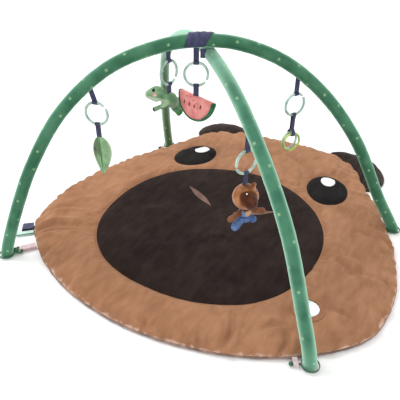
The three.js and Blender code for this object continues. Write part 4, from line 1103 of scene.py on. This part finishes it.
mint_plastic = smooth_plastic("mint_plastic", dye(140, 172, 158), dye(196, 222, 210))
for name, hang in HANGERS.items():
    turn = level(hang["turn"])
    normal = level(hang["turn"] + 90)
    centre = np.array([hang["x"], hang["y"], hang["ring"]])
    sweep = np.radians(np.linspace(RING["gap"] / 2, 360 - RING["gap"] / 2, 72) + hang["open"])
    path = centre + RING["radius"] * (np.outer(np.cos(sweep), turn) + np.outer(np.sin(sweep), (0, 0, 1)))
    bars = np.full(72, RING["bar"])
    bars[[0, -1]] = RING["bar"] * 0.6
    ring = sewn(f"{name}_open_ring", *tube(path, bars), mint_plastic)
    fitted(ring, "mint_plastic", f"{name}_ring")
    line = arch_line(hang["arch"], 500)[0]
    sewn_at = np.array([hang["x"], hang["y"]]) + turn[:2] * hang.get("sway", 0)
    nearest = line[np.argmin(np.linalg.norm(line[:, :2] - sewn_at, axis=1))]
    sewn_height = nearest[2] - SLEEVE_RADIUS + 0.001
    top_eye = hang["ring"] + RING["radius"] - 0.00035
    tab_path = [place + turn * hang.get("sway", 0) * max(place[2] - top_eye, 0) / (sewn_height - top_eye)
                for place in fold_path(top_eye, sewn_height, hang["x"], hang["y"], normal)]
    top_tab = sewn(f"{name}_top_ribbon", *strap(tab_path, RIBBON["wide"], RIBBON["thick"], turn), navy_ribbon)
    fitted(top_tab, "navy_ribbon", f"{name}_tab")
    if name == "teether":
        continue
    low_eye = hang["ring"] - RING["radius"] + 0.00035
    path = fold_path(low_eye, hang["foot"], hang["x"], hang["y"], normal)
    low = sewn(f"{name}_low_ribbon", *strap(path, RIBBON["wide"], RIBBON["thick"], turn), navy_ribbon)
    fitted(low, "navy_ribbon", f"{name}_ribbon")


# Leaf
# Soft leaf of two green cloths, folded down its middle rib and stitched round its edge.

LEAF = {"long": 0.101, "half_wide": 0.0225, "fold": 24, "thick": 0.0045, "turn": 22}


def placed(corners, turn, place):
    """Corners turned about the plumb line by degrees and set at a place."""
    corners = np.array(corners, float)
    x, y = turned(corners[:, 0], corners[:, 1], math.radians(turn))
    return np.column_stack([x, y, corners[:, 2]]) + np.array(place)


ANYWHERE = 9  # The reach of a mark that goes right through the toy


def own_layout(obj, places):
    """Keeps each corner's place in the toy's own layout, for the finish to read."""
    layout = obj.data.attributes.new("own", "FLOAT_VECTOR", "POINT")
    layout.data.foreach_set("vector", np.ascontiguousarray(places, dtype=float).ravel())


def turned_back(obj, turn, place):
    """The object's corners in the layout of a toy that was turned by degrees and set at a place."""
    away = corners_of(obj) - FACE - np.array(place)
    x, y = turned(away[:, 0], away[:, 1], -math.radians(turn))
    return np.column_stack([x, y, away[:, 2]])


def plush_cloth(name, dark, light, sheen=0.4, marks=()):
    """Short plush of the small toys, with fine pile and uneven colour. Each mark is a colour, and the
    centre and reach of the oval that it fills in the toy's own layout."""
    material, tree, shader = new_finish(name, {
        "Specular IOR Level": 0.15, "Sheen Weight": sheen, "Sheen Roughness": 0.4})
    place = tree.own_place()
    tone = place.noise(55, 4)
    pile = place.noise(1100, 2)
    colour = tree.mixed(dark, light, (tone * 0.75 + pile * 0.25).step(0.34, 0.66))
    own = tree.node("ShaderNodeAttribute", {"attribute_name": "own"}, output="Vector")
    for mark, centre, reach in marks:
        colour = tree.mixed(colour, mark, own.spot(centre, reach))
    colour.into(shader, "Base Color")
    (0.96 - tone * 0.12).into(shader, "Roughness")
    (pile + tone * 0.5).raises(shader, 0.5, 0.0009)
    return material


leaf_rings = []
for row in np.linspace(0.03, 0.97, 26):
    wide = LEAF["half_wide"] * math.sin(math.pi * row ** 0.8) ** 0.85
    back = wide * math.tan(math.radians(LEAF["fold"]))
    half = LEAF["thick"] / 2 * (0.45 + 0.55 * math.sin(math.pi * row))
    section = []
    for across, puff in [(-1, 0.5), (-0.75, 1), (-0.5, 1), (-0.25, 0.9), (0, 0.5), (0.25, 0.9), (0.5, 1),
                         (0.75, 1), (1, 0.5)]:
        section.append((across * wide, abs(across) * back - half * puff, -LEAF["long"] * row))
    for across, puff in [(1, 0.5), (0.75, 1), (0.5, 1), (0.25, 1), (0, 1), (-0.25, 1), (-0.5, 1),
                         (-0.75, 1), (-1, 0.5)]:
        section.append((across * wide, abs(across) * back + half * puff, -LEAF["long"] * row))
    leaf_rings.append(section)
leaf_corners, leaf_faces = skin(leaf_rings)
leaf_place = (HANGERS["leaf"]["x"], HANGERS["leaf"]["y"],
              HANGERS["leaf"]["foot"] - 0.0004 + LEAF["long"] * 0.03)
# In the leaf's own layout, x runs from edge -1 to edge 1 and z down from its tip 0 to 1
# Marks: the darker left half, with a darker strip by its left edge and a less dark patch lower down, is
# painted shade on the half turned from the light; then a darker middle rib and paler edges
LEAF_MARKS = [
    (dye(98, 122, 90), (-0.55, 0, 0.30), (0.50, ANYWHERE, 0.30)),
    (dye(74, 92, 66), (-0.72, 0, 0.36), (0.16, ANYWHERE, 0.05)),
    (dye(84, 122, 82), (-0.04, 0, 0.50), (0.09, ANYWHERE, 0.60)),
    (dye(128, 166, 124), (-0.45, 0, 0.75), (0.22, ANYWHERE, 0.30)),
    (dye(182, 214, 176), (1.0, 0, 0.5), (0.16, ANYWHERE, 0.50)),
    (dye(176, 204, 168), (-1.0, 0, 0.5), (0.14, ANYWHERE, 0.50))]
leaf_cloth = plush_cloth("leaf_cloth", dye(134, 172, 128), dye(170, 208, 164), 0.4, LEAF_MARKS)
leaf = sewn("soft_leaf", placed(leaf_corners, LEAF["turn"], leaf_place), leaf_faces, leaf_cloth, 1)
hanging = turned_back(leaf, LEAF["turn"], leaf_place)
down = np.clip(-hanging[:, 2] / LEAF["long"], 0.02, 0.98)
half_across = LEAF["half_wide"] * np.sin(math.pi * down ** 0.8) ** 0.85
own_layout(leaf, np.column_stack([hanging[:, 0] / half_across, hanging[:, 1] * 0, down]))
fitted(leaf, "leaf_plush", "leaf")


# Melon slice
# Pink plush flesh with sewn seeds, in a puffed dark green rind.

MELON = {"place": (-0.0385, 0.028, 0.3793), "wide": 0.053, "deep": 0.0515, "thick": 0.014}
MELON_TURN = Euler((math.radians(-10), math.radians(1), math.radians(-20)), "YXZ")
MELON_RIND = [(0.0004, -0.0066), (0.0014, -0.0076), (0.0032, -0.0066), (0.0046, -0.0038), (0.0053, 0),
              (0.0046, 0.0038), (0.0032, 0.0066), (0.0014, 0.0076), (0.0004, 0.0066)]


def in_slice(corners):
    """Corners of the melon slice, leaning and turned as it hangs."""
    return [tuple(MELON_TURN.to_matrix() @ Vector(corner) + Vector(MELON["place"])) for corner in corners]


def half_oval(angle, out, deep):
    across, down = MELON["wide"] * math.cos(angle), MELON["deep"] * math.sin(angle)
    outward = Vector((-MELON["deep"] * math.cos(angle), 0, -MELON["wide"] * math.sin(angle))).normalized()
    return Vector((-across, deep, -down)) + outward * out


flesh_rings = []
for deep, inset in [(-1, 0.0018), (-0.86, 0.0006), (-0.5, 0), (0, 0), (0.5, 0), (0.86, 0.0006), (1, 0.0018)]:
    ring = [half_oval(math.pi * step / 36, -inset, deep * MELON["thick"] / 2) for step in range(37)]
    ring += [Vector((MELON["wide"] * share, deep * MELON["thick"] / 2, -inset))
             for share in np.linspace(0.9, -0.9, 13)]
    flesh_rings.append(ring)
flesh_corners, flesh_faces = skin(flesh_rings)
# Seeds on the front: across, up and size
SEEDS = [(-0.0308, -0.0216, 1.0), (-0.0136, -0.0224, 1.1), (0.003, -0.022, 1.0), (0.0228, -0.0181, 1.1),
         (-0.0250, -0.0070, 0.5), (-0.0130, -0.0050, 0.45), (-0.0030, -0.0110, 0.5), (0.0100, -0.0140, 0.4)]
seed_marks = [(dye(112, 58, 58), (x, 0, z), (0.0026 * size, ANYWHERE, 0.0044 * size)) for x, z, size in SEEDS]
# The flesh is paler at its left end
seed_marks.append((dye(222, 186, 170), (-0.0535, 0, -0.012), (0.0045, ANYWHERE, 0.022)))
melon_plush = plush_cloth("melon_plush", dye(214, 118, 116), dye(236, 156, 150), 0.4, seed_marks)
flesh = sewn("melon_soft_flesh", in_slice(flesh_corners), flesh_faces, melon_plush, 1)
upright = MELON_TURN.to_matrix().inverted()
hung_at = FACE + Vector(MELON["place"])
own_layout(flesh, [upright @ (Vector(corner) - hung_at) for corner in corners_of(flesh)])
fitted(flesh, "melon_plush", "melon_flesh")
rind_rings = [[half_oval(math.pi * step / 36, out, deep) for out, deep in MELON_RIND] for step in range(37)]
rind_corners, rind_faces = skin(rind_rings)
rind_plush = plush_cloth("rind_plush", dye(34, 86, 56), dye(60, 126, 88))
rind = sewn("melon_soft_rind", in_slice(rind_corners), rind_faces, rind_plush, 1)
fitted(rind, "rind_plush", "melon_rind")


# Lizard
# Small stuffed lizard in mid green plush with a paler throat. It hangs from its shoulders.

LIZARD = {"place": (-0.0875, -0.0082, 0.370), "heading": 208}
# From tail to nose: place, half width and half height
LIZARD_BODY = [
    (-0.046, -0.107, -0.053, 0.0015, 0.0015), (-0.043, -0.104, -0.052, 0.0035, 0.004),
    (-0.036, -0.098, -0.049, 0.007, 0.0075), (-0.028, -0.091, -0.0445, 0.0105, 0.0115),
    (-0.019, -0.082, -0.0385, 0.0125, 0.014), (-0.011, -0.071, -0.0325, 0.012, 0.015),
    (-0.005, -0.058, -0.0255, 0.011, 0.0155), (-0.003, -0.044, -0.0185, 0.011, 0.0155),
    (-0.003, -0.03, -0.011, 0.0125, 0.0168), (-0.002, -0.016, -0.002, 0.013, 0.0165),
    (0.004, -0.005, 0.0055, 0.012, 0.0132), (0.011, -0.002, 0.01, 0.0105, 0.012),
    (0.019, -0.001, 0.014, 0.012, 0.0155), (0.0265, 0, 0.016, 0.0155, 0.018),
    (0.035, 0.001, 0.016, 0.015, 0.016), (0.0435, 0.0015, 0.0155, 0.0115, 0.0115),
    (0.05, 0.002, 0.015, 0.0075, 0.0075), (0.0535, 0.002, 0.015, 0.0035, 0.004)]
LIZARD_LEGS = [
    {"from": (0.006, -0.004, -0.008), "to": (0.038, 0.004, -0.02), "radius": 0.0054},
    {"from": (0.002, -0.012, -0.013), "to": (0.022, -0.02, -0.025), "radius": 0.0046},
    {"from": (-0.004, -0.044, -0.03), "to": (-0.023, -0.046, -0.049), "radius": 0.0085},
    {"from": (-0.018, -0.078, -0.042), "to": (-0.03, -0.084, -0.05), "radius": 0.007}]


def stuffed(stations, given_side=None, sides=18, steps=24):
    """Corners and faces of a stuffed body: oval rings of stated half sizes along smooth stations,
    wide along the side given or else level and square to the line."""
    smooth = smooth_line(stations, False, steps)
    angles = steps_round(sides)
    rings = []
    for step, (x, y, z, wide, tall) in enumerate(smooth):
        forward = smooth[min(step + 1, steps - 1), :3] - smooth[max(step - 1, 0), :3]
        side = np.array((-forward[1], forward[0], 0.0) if given_side is None else given_side, float)
        side = side / np.linalg.norm(side)
        upward = np.cross(forward, side)
        upward = upward / np.linalg.norm(upward)
        rings.append(np.array([x, y, z]) + np.outer(np.cos(angles) * wide, side)
                     + np.outer(np.sin(angles) * tall, upward))
    return skin(rings)


def side_by_side(bodies):
    """Corners and faces of several bodies as one."""
    corners, faces = [], []
    for body_corners, body_faces in bodies:
        faces += [tuple(len(corners) + corner for corner in face) for face in body_faces]
        corners += list(body_corners)
    return corners, faces


def grown_together(name, bodies, turn, place, material, grain, filling):
    """One soft body from several that overlap, with a surface of the stated grain."""
    corners, faces = side_by_side(bodies)
    obj = sewn(name, placed(corners, turn, place), faces, material)
    remesh = obj.modifiers.new("one_skin", "REMESH")
    remesh.mode = "VOXEL"
    remesh.voxel_size = grain
    soften = obj.modifiers.new("soften", "SMOOTH")
    soften.iterations = 4
    settle(obj)
    if filling:
        fill_out(obj, filling, grain * 1.2)
    rounding = obj.modifiers.new("rounding", "SUBSURF")
    rounding.levels = rounding.render_levels = 1
    return settle(obj)


def lizard_leg(leg):
    start, end = np.array(leg["from"]), np.array(leg["to"])
    sizes = [(0, 0.75), (0.15, 1), (0.6, 0.95), (0.92, 1.1), (1, 0.5)]
    stations = [(*(start + (end - start) * share), leg["radius"] * size, leg["radius"] * size)
                for share, size in sizes]
    return stuffed(stations, None, 14, 14)


lizard_bodies = [stuffed(LIZARD_BODY, None, 24, 60)] + [lizard_leg(leg) for leg in LIZARD_LEGS]
# Paler jaw, throat and nose, a cheek with a light spot, an eye, a dark foreleg tip and a bright hind foot
LIZARD_MARKS = [
    (dye(190, 212, 184), (0.040, 0.006, 0.002), (0.026, 0.040, 0.0135)),
    (dye(168, 196, 158), (0.010, 0.012, -0.006), (0.013, 0.016, 0.014)),
    (dye(196, 212, 190), (0.054, 0.002, 0.013), (0.008, 0.01, 0.008)),
    (dye(186, 160, 140), (0.0314, 0.0148, 0.0205), (0.0055, 0.007, 0.0055)),
    (dye(226, 214, 198), (0.0305, 0.0155, 0.0190), (0.0022, 0.006, 0.0022)),
    (dye(18, 24, 18), (0.0335, 0.0110, 0.0285), (0.0034, 0.006, 0.0036)),
    (dye(22, 34, 22), (0.038, 0.004, -0.02), (0.0060, 0.008, 0.008)),
    (dye(72, 138, 74), (-0.022, -0.046, -0.049), (0.013, 0.02, 0.012))]
lizard_plush = plush_cloth("lizard_plush", dye(88, 134, 96), dye(140, 174, 136), 0.4, LIZARD_MARKS)
lizard = grown_together("stuffed_lizard", lizard_bodies, LIZARD["heading"], LIZARD["place"], lizard_plush,
                        0.0022, 2.0)
own_layout(lizard, turned_back(lizard, LIZARD["heading"], LIZARD["place"]))
fitted(lizard, "lizard_plush", "lizard")


# Plush animal
# Small brown animal with a dark muzzle, in blue trousers. It looks to the front right.

PLUSH = {"place": (0.1316, -0.0708, 0.2245), "head": 0.0286, "facing": 57}


def ball(centre, sizes, around=20, down=14):
    """Corners and faces of a stuffed ball, uneven sizes allowed."""
    rings = []
    for step in range(1, down):
        polar = math.pi * step / down
        angles = steps_round(around)
        rings.append(np.column_stack([
            centre[0] + sizes[0] * math.sin(polar) * np.cos(angles),
            centre[1] + sizes[1] * math.sin(polar) * np.sin(angles),
            np.full(around, centre[2] + sizes[2] * math.cos(polar))]))
    corners, faces = skin(rings)
    corners[-2] = (centre[0], centre[1], centre[2] + sizes[2])
    corners[-1] = (centre[0], centre[1], centre[2] - sizes[2])
    return corners, faces


# Dark fur round the eyes and on the crown, two eyes, and a painted glint of light in the nearer one
HEAD_MARKS = [
    (dye(98, 54, 28), (-0.006, -0.024, 0.008), (0.022, 0.020, 0.020)),
    (dye(84, 42, 22), (-0.014, -0.018, 0.012), (0.010, 0.014, 0.011)),
    (dye(120, 70, 38), (0.006, -0.004, 0.029), (0.013, 0.013, 0.008)),
    (dye(14, 8, 6), (-0.0104, -0.0176, 0.0189), (0.0040, 0.0050, 0.0042)),
    (dye(250, 244, 232), (-0.0100, -0.0182, 0.0193), (0.0018, 0.0024, 0.0019)),
    (dye(14, 8, 6), (0.0187, -0.0130, 0.0164), (0.0030, 0.0040, 0.0034))]
# Beige belly, and the trousers' strap and waist
BODY_MARKS = [
    (dye(206, 166, 126), (0.0020, -0.0130, -0.0385), (0.0110, 0.0110, 0.0070)),
    (dye(112, 138, 178), (-0.0080, -0.0100, -0.0390), (0.0034, 0.0120, 0.0100)),
    (dye(100, 128, 172), (0, 0, -0.0490), (0.0220, 0.0220, 0.0090))]
head_fur = plush_cloth("head_fur", dye(140, 86, 50), dye(194, 134, 90), 0.5, HEAD_MARKS)
body_fur = plush_cloth("body_fur", dye(100, 58, 38), dye(140, 92, 64), 0.4, BODY_MARKS)
dark_fur_plush = plush_cloth("dark_fur_plush", dye(62, 30, 20), dye(96, 54, 36))
blue_denim = plush_cloth("blue_denim", dye(72, 96, 146), dye(112, 142, 188), 0.1)
head_radius = PLUSH["head"]
head = grown_together("plush_stuffed_head", [
    ball((0, 0, 0), (head_radius, head_radius - 0.001, head_radius)),
    ball((-0.017, -0.003, 0.025), (0.0065, 0.004, 0.0065)),
    ball((0.017, -0.003, 0.025), (0.0065, 0.004, 0.0065))],
    PLUSH["facing"], PLUSH["place"], head_fur, 0.002, 0)
own_layout(head, turned_back(head, PLUSH["facing"], PLUSH["place"]))
fitted(head, "fur_plush", "plush_head")
muzzle_corners, muzzle_faces = ball((0, -head_radius + 0.005, -0.002), (0.0142, 0.0108, 0.017), 32, 22)
snout = sewn("plush_stuffed_muzzle", placed(muzzle_corners, PLUSH["facing"], PLUSH["place"]), muzzle_faces,
             dark_fur_plush)
fitted(snout, "dark_fur_plush", "plush_muzzle")
FRONT = (0, 1, 0)
OWN_RIGHT_ARM = [(-0.009, 0, -0.036, 0.005, 0.005), (-0.020, -0.002, -0.039, 0.0063, 0.0063),
                 (-0.033, -0.005, -0.042, 0.0068, 0.0068), (-0.041, -0.006, -0.043, 0.0065, 0.0065),
                 (-0.045, -0.0065, -0.0435, 0.003, 0.003)]
OWN_LEFT_ARM = [(0.009, -0.002, -0.036, 0.005, 0.005), (0.020, -0.007, -0.037, 0.0063, 0.0063),
                (0.032, -0.013, -0.038, 0.0068, 0.0068), (0.038, -0.016, -0.0385, 0.0065, 0.0065),
                (0.042, -0.018, -0.039, 0.003, 0.003)]
OWN_RIGHT_LEG = [(-0.006, -0.002, -0.056, 0.0075, 0.0075), (-0.018, -0.006, -0.059, 0.0085, 0.0085),
                 (-0.030, -0.011, -0.063, 0.0088, 0.0088), (-0.036, -0.014, -0.066, 0.005, 0.005)]
OWN_LEFT_LEG = [(0.005, -0.003, -0.056, 0.0075, 0.0075), (0.012, -0.009, -0.0555, 0.008, 0.008),
                (0.016, -0.015, -0.055, 0.008, 0.008), (0.018, -0.019, -0.055, 0.0045, 0.0045)]
TORSO = [(0, 0, -0.0304, 0.008, 0.008), (0, 0, -0.035, 0.0125, 0.013), (0, 0, -0.0455, 0.014, 0.0145)]
SEAT = [(0, 0, -0.0466, 0.0144, 0.015), (0, 0, -0.053, 0.0155, 0.016), (-0.001, 0, -0.059, 0.013, 0.014),
        (-0.002, 0, -0.064, 0.007, 0.008)]
torso = grown_together("plush_stuffed_body", [
    stuffed(TORSO, FRONT), stuffed(OWN_RIGHT_ARM), stuffed(OWN_LEFT_ARM)],
    PLUSH["facing"], PLUSH["place"], body_fur, 0.0018, 0)
own_layout(torso, turned_back(torso, PLUSH["facing"], PLUSH["place"]))
fitted(torso, "fur_plush", "plush_body")
trousers = grown_together("plush_stuffed_trousers", [
    stuffed(SEAT, FRONT), stuffed(OWN_RIGHT_LEG), stuffed(OWN_LEFT_LEG)],
    PLUSH["facing"], PLUSH["place"], blue_denim, 0.0018, 0)
fitted(trousers, "blue_denim", "plush_trousers")


# Teethers
# Two linked rings of smooth plastic, yellow-green and mint, on one long navy ribbon.

TEETHERS = {"z": 0.2595, "radius": 0.0215, "bar": 0.0027, "apart": 0.0046, "splay": 5}
lime_plastic = smooth_plastic("lime_plastic", dye(150, 176, 70), dye(190, 212, 110))
hang = HANGERS["teether"]
for name, side, plastic, slot in (("teether_lime", -1, lime_plastic, "lime_plastic"),
                                  ("teether_mint", 1, mint_plastic, "mint_plastic")):
    normal = level(hang["turn"] + 90)
    flat = level(hang["turn"] + side * TEETHERS["splay"])
    facing = level(hang["turn"] + side * TEETHERS["splay"] + 90)
    centre = np.array([hang["x"], hang["y"], TEETHERS["z"]]) + normal * side * TEETHERS["apart"]
    hoop_rings = []
    for angle in steps_round(64):
        outward = math.cos(angle) * flat + math.sin(angle) * np.array([0, 0, 1])
        around = steps_round(14)
        hoop_rings.append(centre + outward * TEETHERS["radius"] + TEETHERS["bar"] * (
            np.outer(np.cos(around), outward) + np.outer(np.sin(around), facing)))
    hoop = sewn(f"{name}_hoop", *band(hoop_rings), plastic)
    fitted(hoop, slot, name)

ring_eye = hang["ring"] - RING["radius"] + 0.00035
bars = TEETHERS["z"] + TEETHERS["radius"] - 0.0003
LONG_RIBBON = [(0.0080, -0.0046), (0.0086, -0.0040), (0.0086, 0.0040), (0.0030, 0.0105)]
side_line = [(0, bars - 0.0049)] + [(x, bars + z) for x, z in LONG_RIBBON]
side_line += [(0.0026, bars + 0.018), (0.0027, ring_eye - 0.009), (0.0043, ring_eye - 0.002),
              (0.0043, ring_eye + 0.0015), (0, ring_eye + 0.0045)]
mirrored_line = [(-x, z) for x, z in reversed(side_line[1:-1])]
long_path = smooth_line(side_line + mirrored_line, True, 90)
normal = level(hang["turn"] + 90)
long_rings = []
angles = steps_round(10)
for step, (deep, z) in enumerate(long_path):
    run = long_path[(step + 1) % 90] - long_path[step - 1]
    facing = np.array([run[1], -run[0]]) / np.linalg.norm(run)
    out = normal * facing[0] + np.array([0, 0, facing[1]])
    place = np.array([hang["x"], hang["y"], z]) + normal * deep
    wide = np.sign(np.cos(angles)) * np.abs(np.cos(angles)) ** 0.4 * 0.005
    long_rings.append(place + np.outer(wide, level(hang["turn"])) + np.outer(np.sin(angles) * 0.0006, out))
long_ribbon = sewn("teether_long_ribbon", *band(long_rings), navy_ribbon)
fitted(long_ribbon, "navy_ribbon", "teether_ribbon")


# Edge loops, tags and ties
# Pale tape loops sewn in the side seam hold the feet with dark green satin ties. Beside the left front
# foot a wide navy ribbon tag and a longer, narrower mint one are sewn in as well.

mint_ribbon = ribbon_cloth("mint_ribbon", dye(168, 208, 192), dye(206, 232, 222))
pale_tape = ribbon_cloth("pale_tape", dye(206, 178, 180), dye(238, 226, 228))
dark_green_satin = ribbon_cloth("dark_green_satin", dye(20, 66, 40), dye(58, 122, 78))


def edge_loop(name, step, wide, reach, tall, thick, base, material, slot, node):
    """A tape loop out of the side seam: out, round, and back below."""
    root = on_rim(step, -0.0042)
    outward = -(rim_inward[int(step) % AROUND])
    middle = base + tall / 2
    half = tall / 2 - thick / 2
    places = [(0, middle + half)] + [(x, middle + half) for x in np.linspace(0.002, reach - tall / 2, 8)]
    places += [(reach - tall / 2 + half * math.sin(a), middle + half * math.cos(a))
               for a in np.linspace(0.2, math.pi - 0.2, 10)]
    places += [(x, middle - half) for x in np.linspace(reach - tall / 2, 0.002, 8)] + [(0, middle - half)]
    path = [(root[0] + outward[0] * x, root[1] + outward[1] * x, z) for x, z in places]
    across = np.array([-outward[1], outward[0], 0])
    loop = sewn(name, *strap(path, wide, thick, across), material)
    fitted(loop, slot, node)
    return root, outward


edge_loop("navy_tag", rim_step_near(-0.430, -0.178), 0.026, 0.030, 0.012, 0.0015, 0.0025, navy_ribbon,
          "navy_ribbon", "tag_navy")
edge_loop("mint_tag", rim_step_near(-0.4145, -0.1915), 0.012, 0.046, 0.006, 0.0015, 0.0025, mint_ribbon,
          "mint_ribbon", "tag_mint")

TIE = {"z": 0.0065, "ring": 0.0174, "knot": 0.0058}
FEET = {
    "front_left": {"arch": ARCH_OVER, "end": 0, "aside": 0, "reach": 0.040, "wide": 0.015},
    "front_right": {"arch": ARCH_UNDER, "end": 0, "aside": -0.030, "reach": 0.017, "wide": 0.010},
    "back_right": {"arch": ARCH_OVER, "end": -1, "aside": 0.030, "reach": 0.0183, "wide": 0.010},
    "back_left": {"arch": ARCH_UNDER, "end": -1, "aside": 0.030, "reach": 0.0183, "wide": 0.010},
}
rim_length = np.linalg.norm(rim - np.roll(rim, 1, axis=0), axis=1).sum()
for foot_name, foot in FEET.items():
    line = arch_line(foot["arch"], 1200)[0]
    stretch = line[:120] if foot["end"] == 0 else line[-120:]
    centre = stretch[np.argmin(np.abs(stretch[:, 2] - TIE["z"]))].copy()
    centre[2] = TIE["z"]
    step = rim_step_near(centre[0], centre[1]) + foot["aside"] / rim_length * AROUND
    root, outward = edge_loop(f"tape_loop_{foot_name}", step, foot["wide"], foot["reach"], 0.012, 0.0012,
                              0.0008, pale_tape, "pale_tape", f"loop_{foot_name}")
    in_loop = np.array([*(root + outward * (foot["reach"] - 0.0052)), TIE["z"]])
    aim = in_loop - centre
    aim = aim / np.linalg.norm(aim)
    hoop = []
    for angle in steps_round(48):
        out = level(math.degrees(angle))
        around = steps_round(12)
        hoop.append(centre + out * TIE["ring"] + np.outer(np.cos(around) * 0.0009, out)
                    + np.outer(np.sin(around) * 0.0026, (0, 0, 1)))
    parts = [band(hoop)]
    if foot["aside"] == 0:
        knot = centre + aim * (TIE["ring"] + 0.0045)
        parts.append(ball(knot + (0, 0, 0.003), (0.0080, 0.0074, 0.0064)))
        sideways = np.array([-aim[1], aim[0], 0])
        for way in (-1, 1):
            bend = centre + aim * (TIE["ring"] + 0.0085) + sideways * way * 0.0095
            corner = in_loop + sideways * way * 0.0095
            strand = smooth_line([knot, bend, corner, in_loop], False, 30)
            parts.append(tube(strand, 0.0026 + 0.0007 * np.sin(np.linspace(0, 5 * math.pi, 30) + way), 12))
    else:
        beyond = in_loop + aim * 0.0085
        parts.append(tube([centre + aim * TIE["ring"], in_loop, beyond], 0.0016, 10))
        parts.append(ball(beyond, (0.0045, 0.0045, 0.005)))
    tie = sewn(f"satin_tie_{foot_name}", *side_by_side(parts), dark_green_satin)
    fitted(tie, "dark_green_satin", f"tie_{foot_name}")
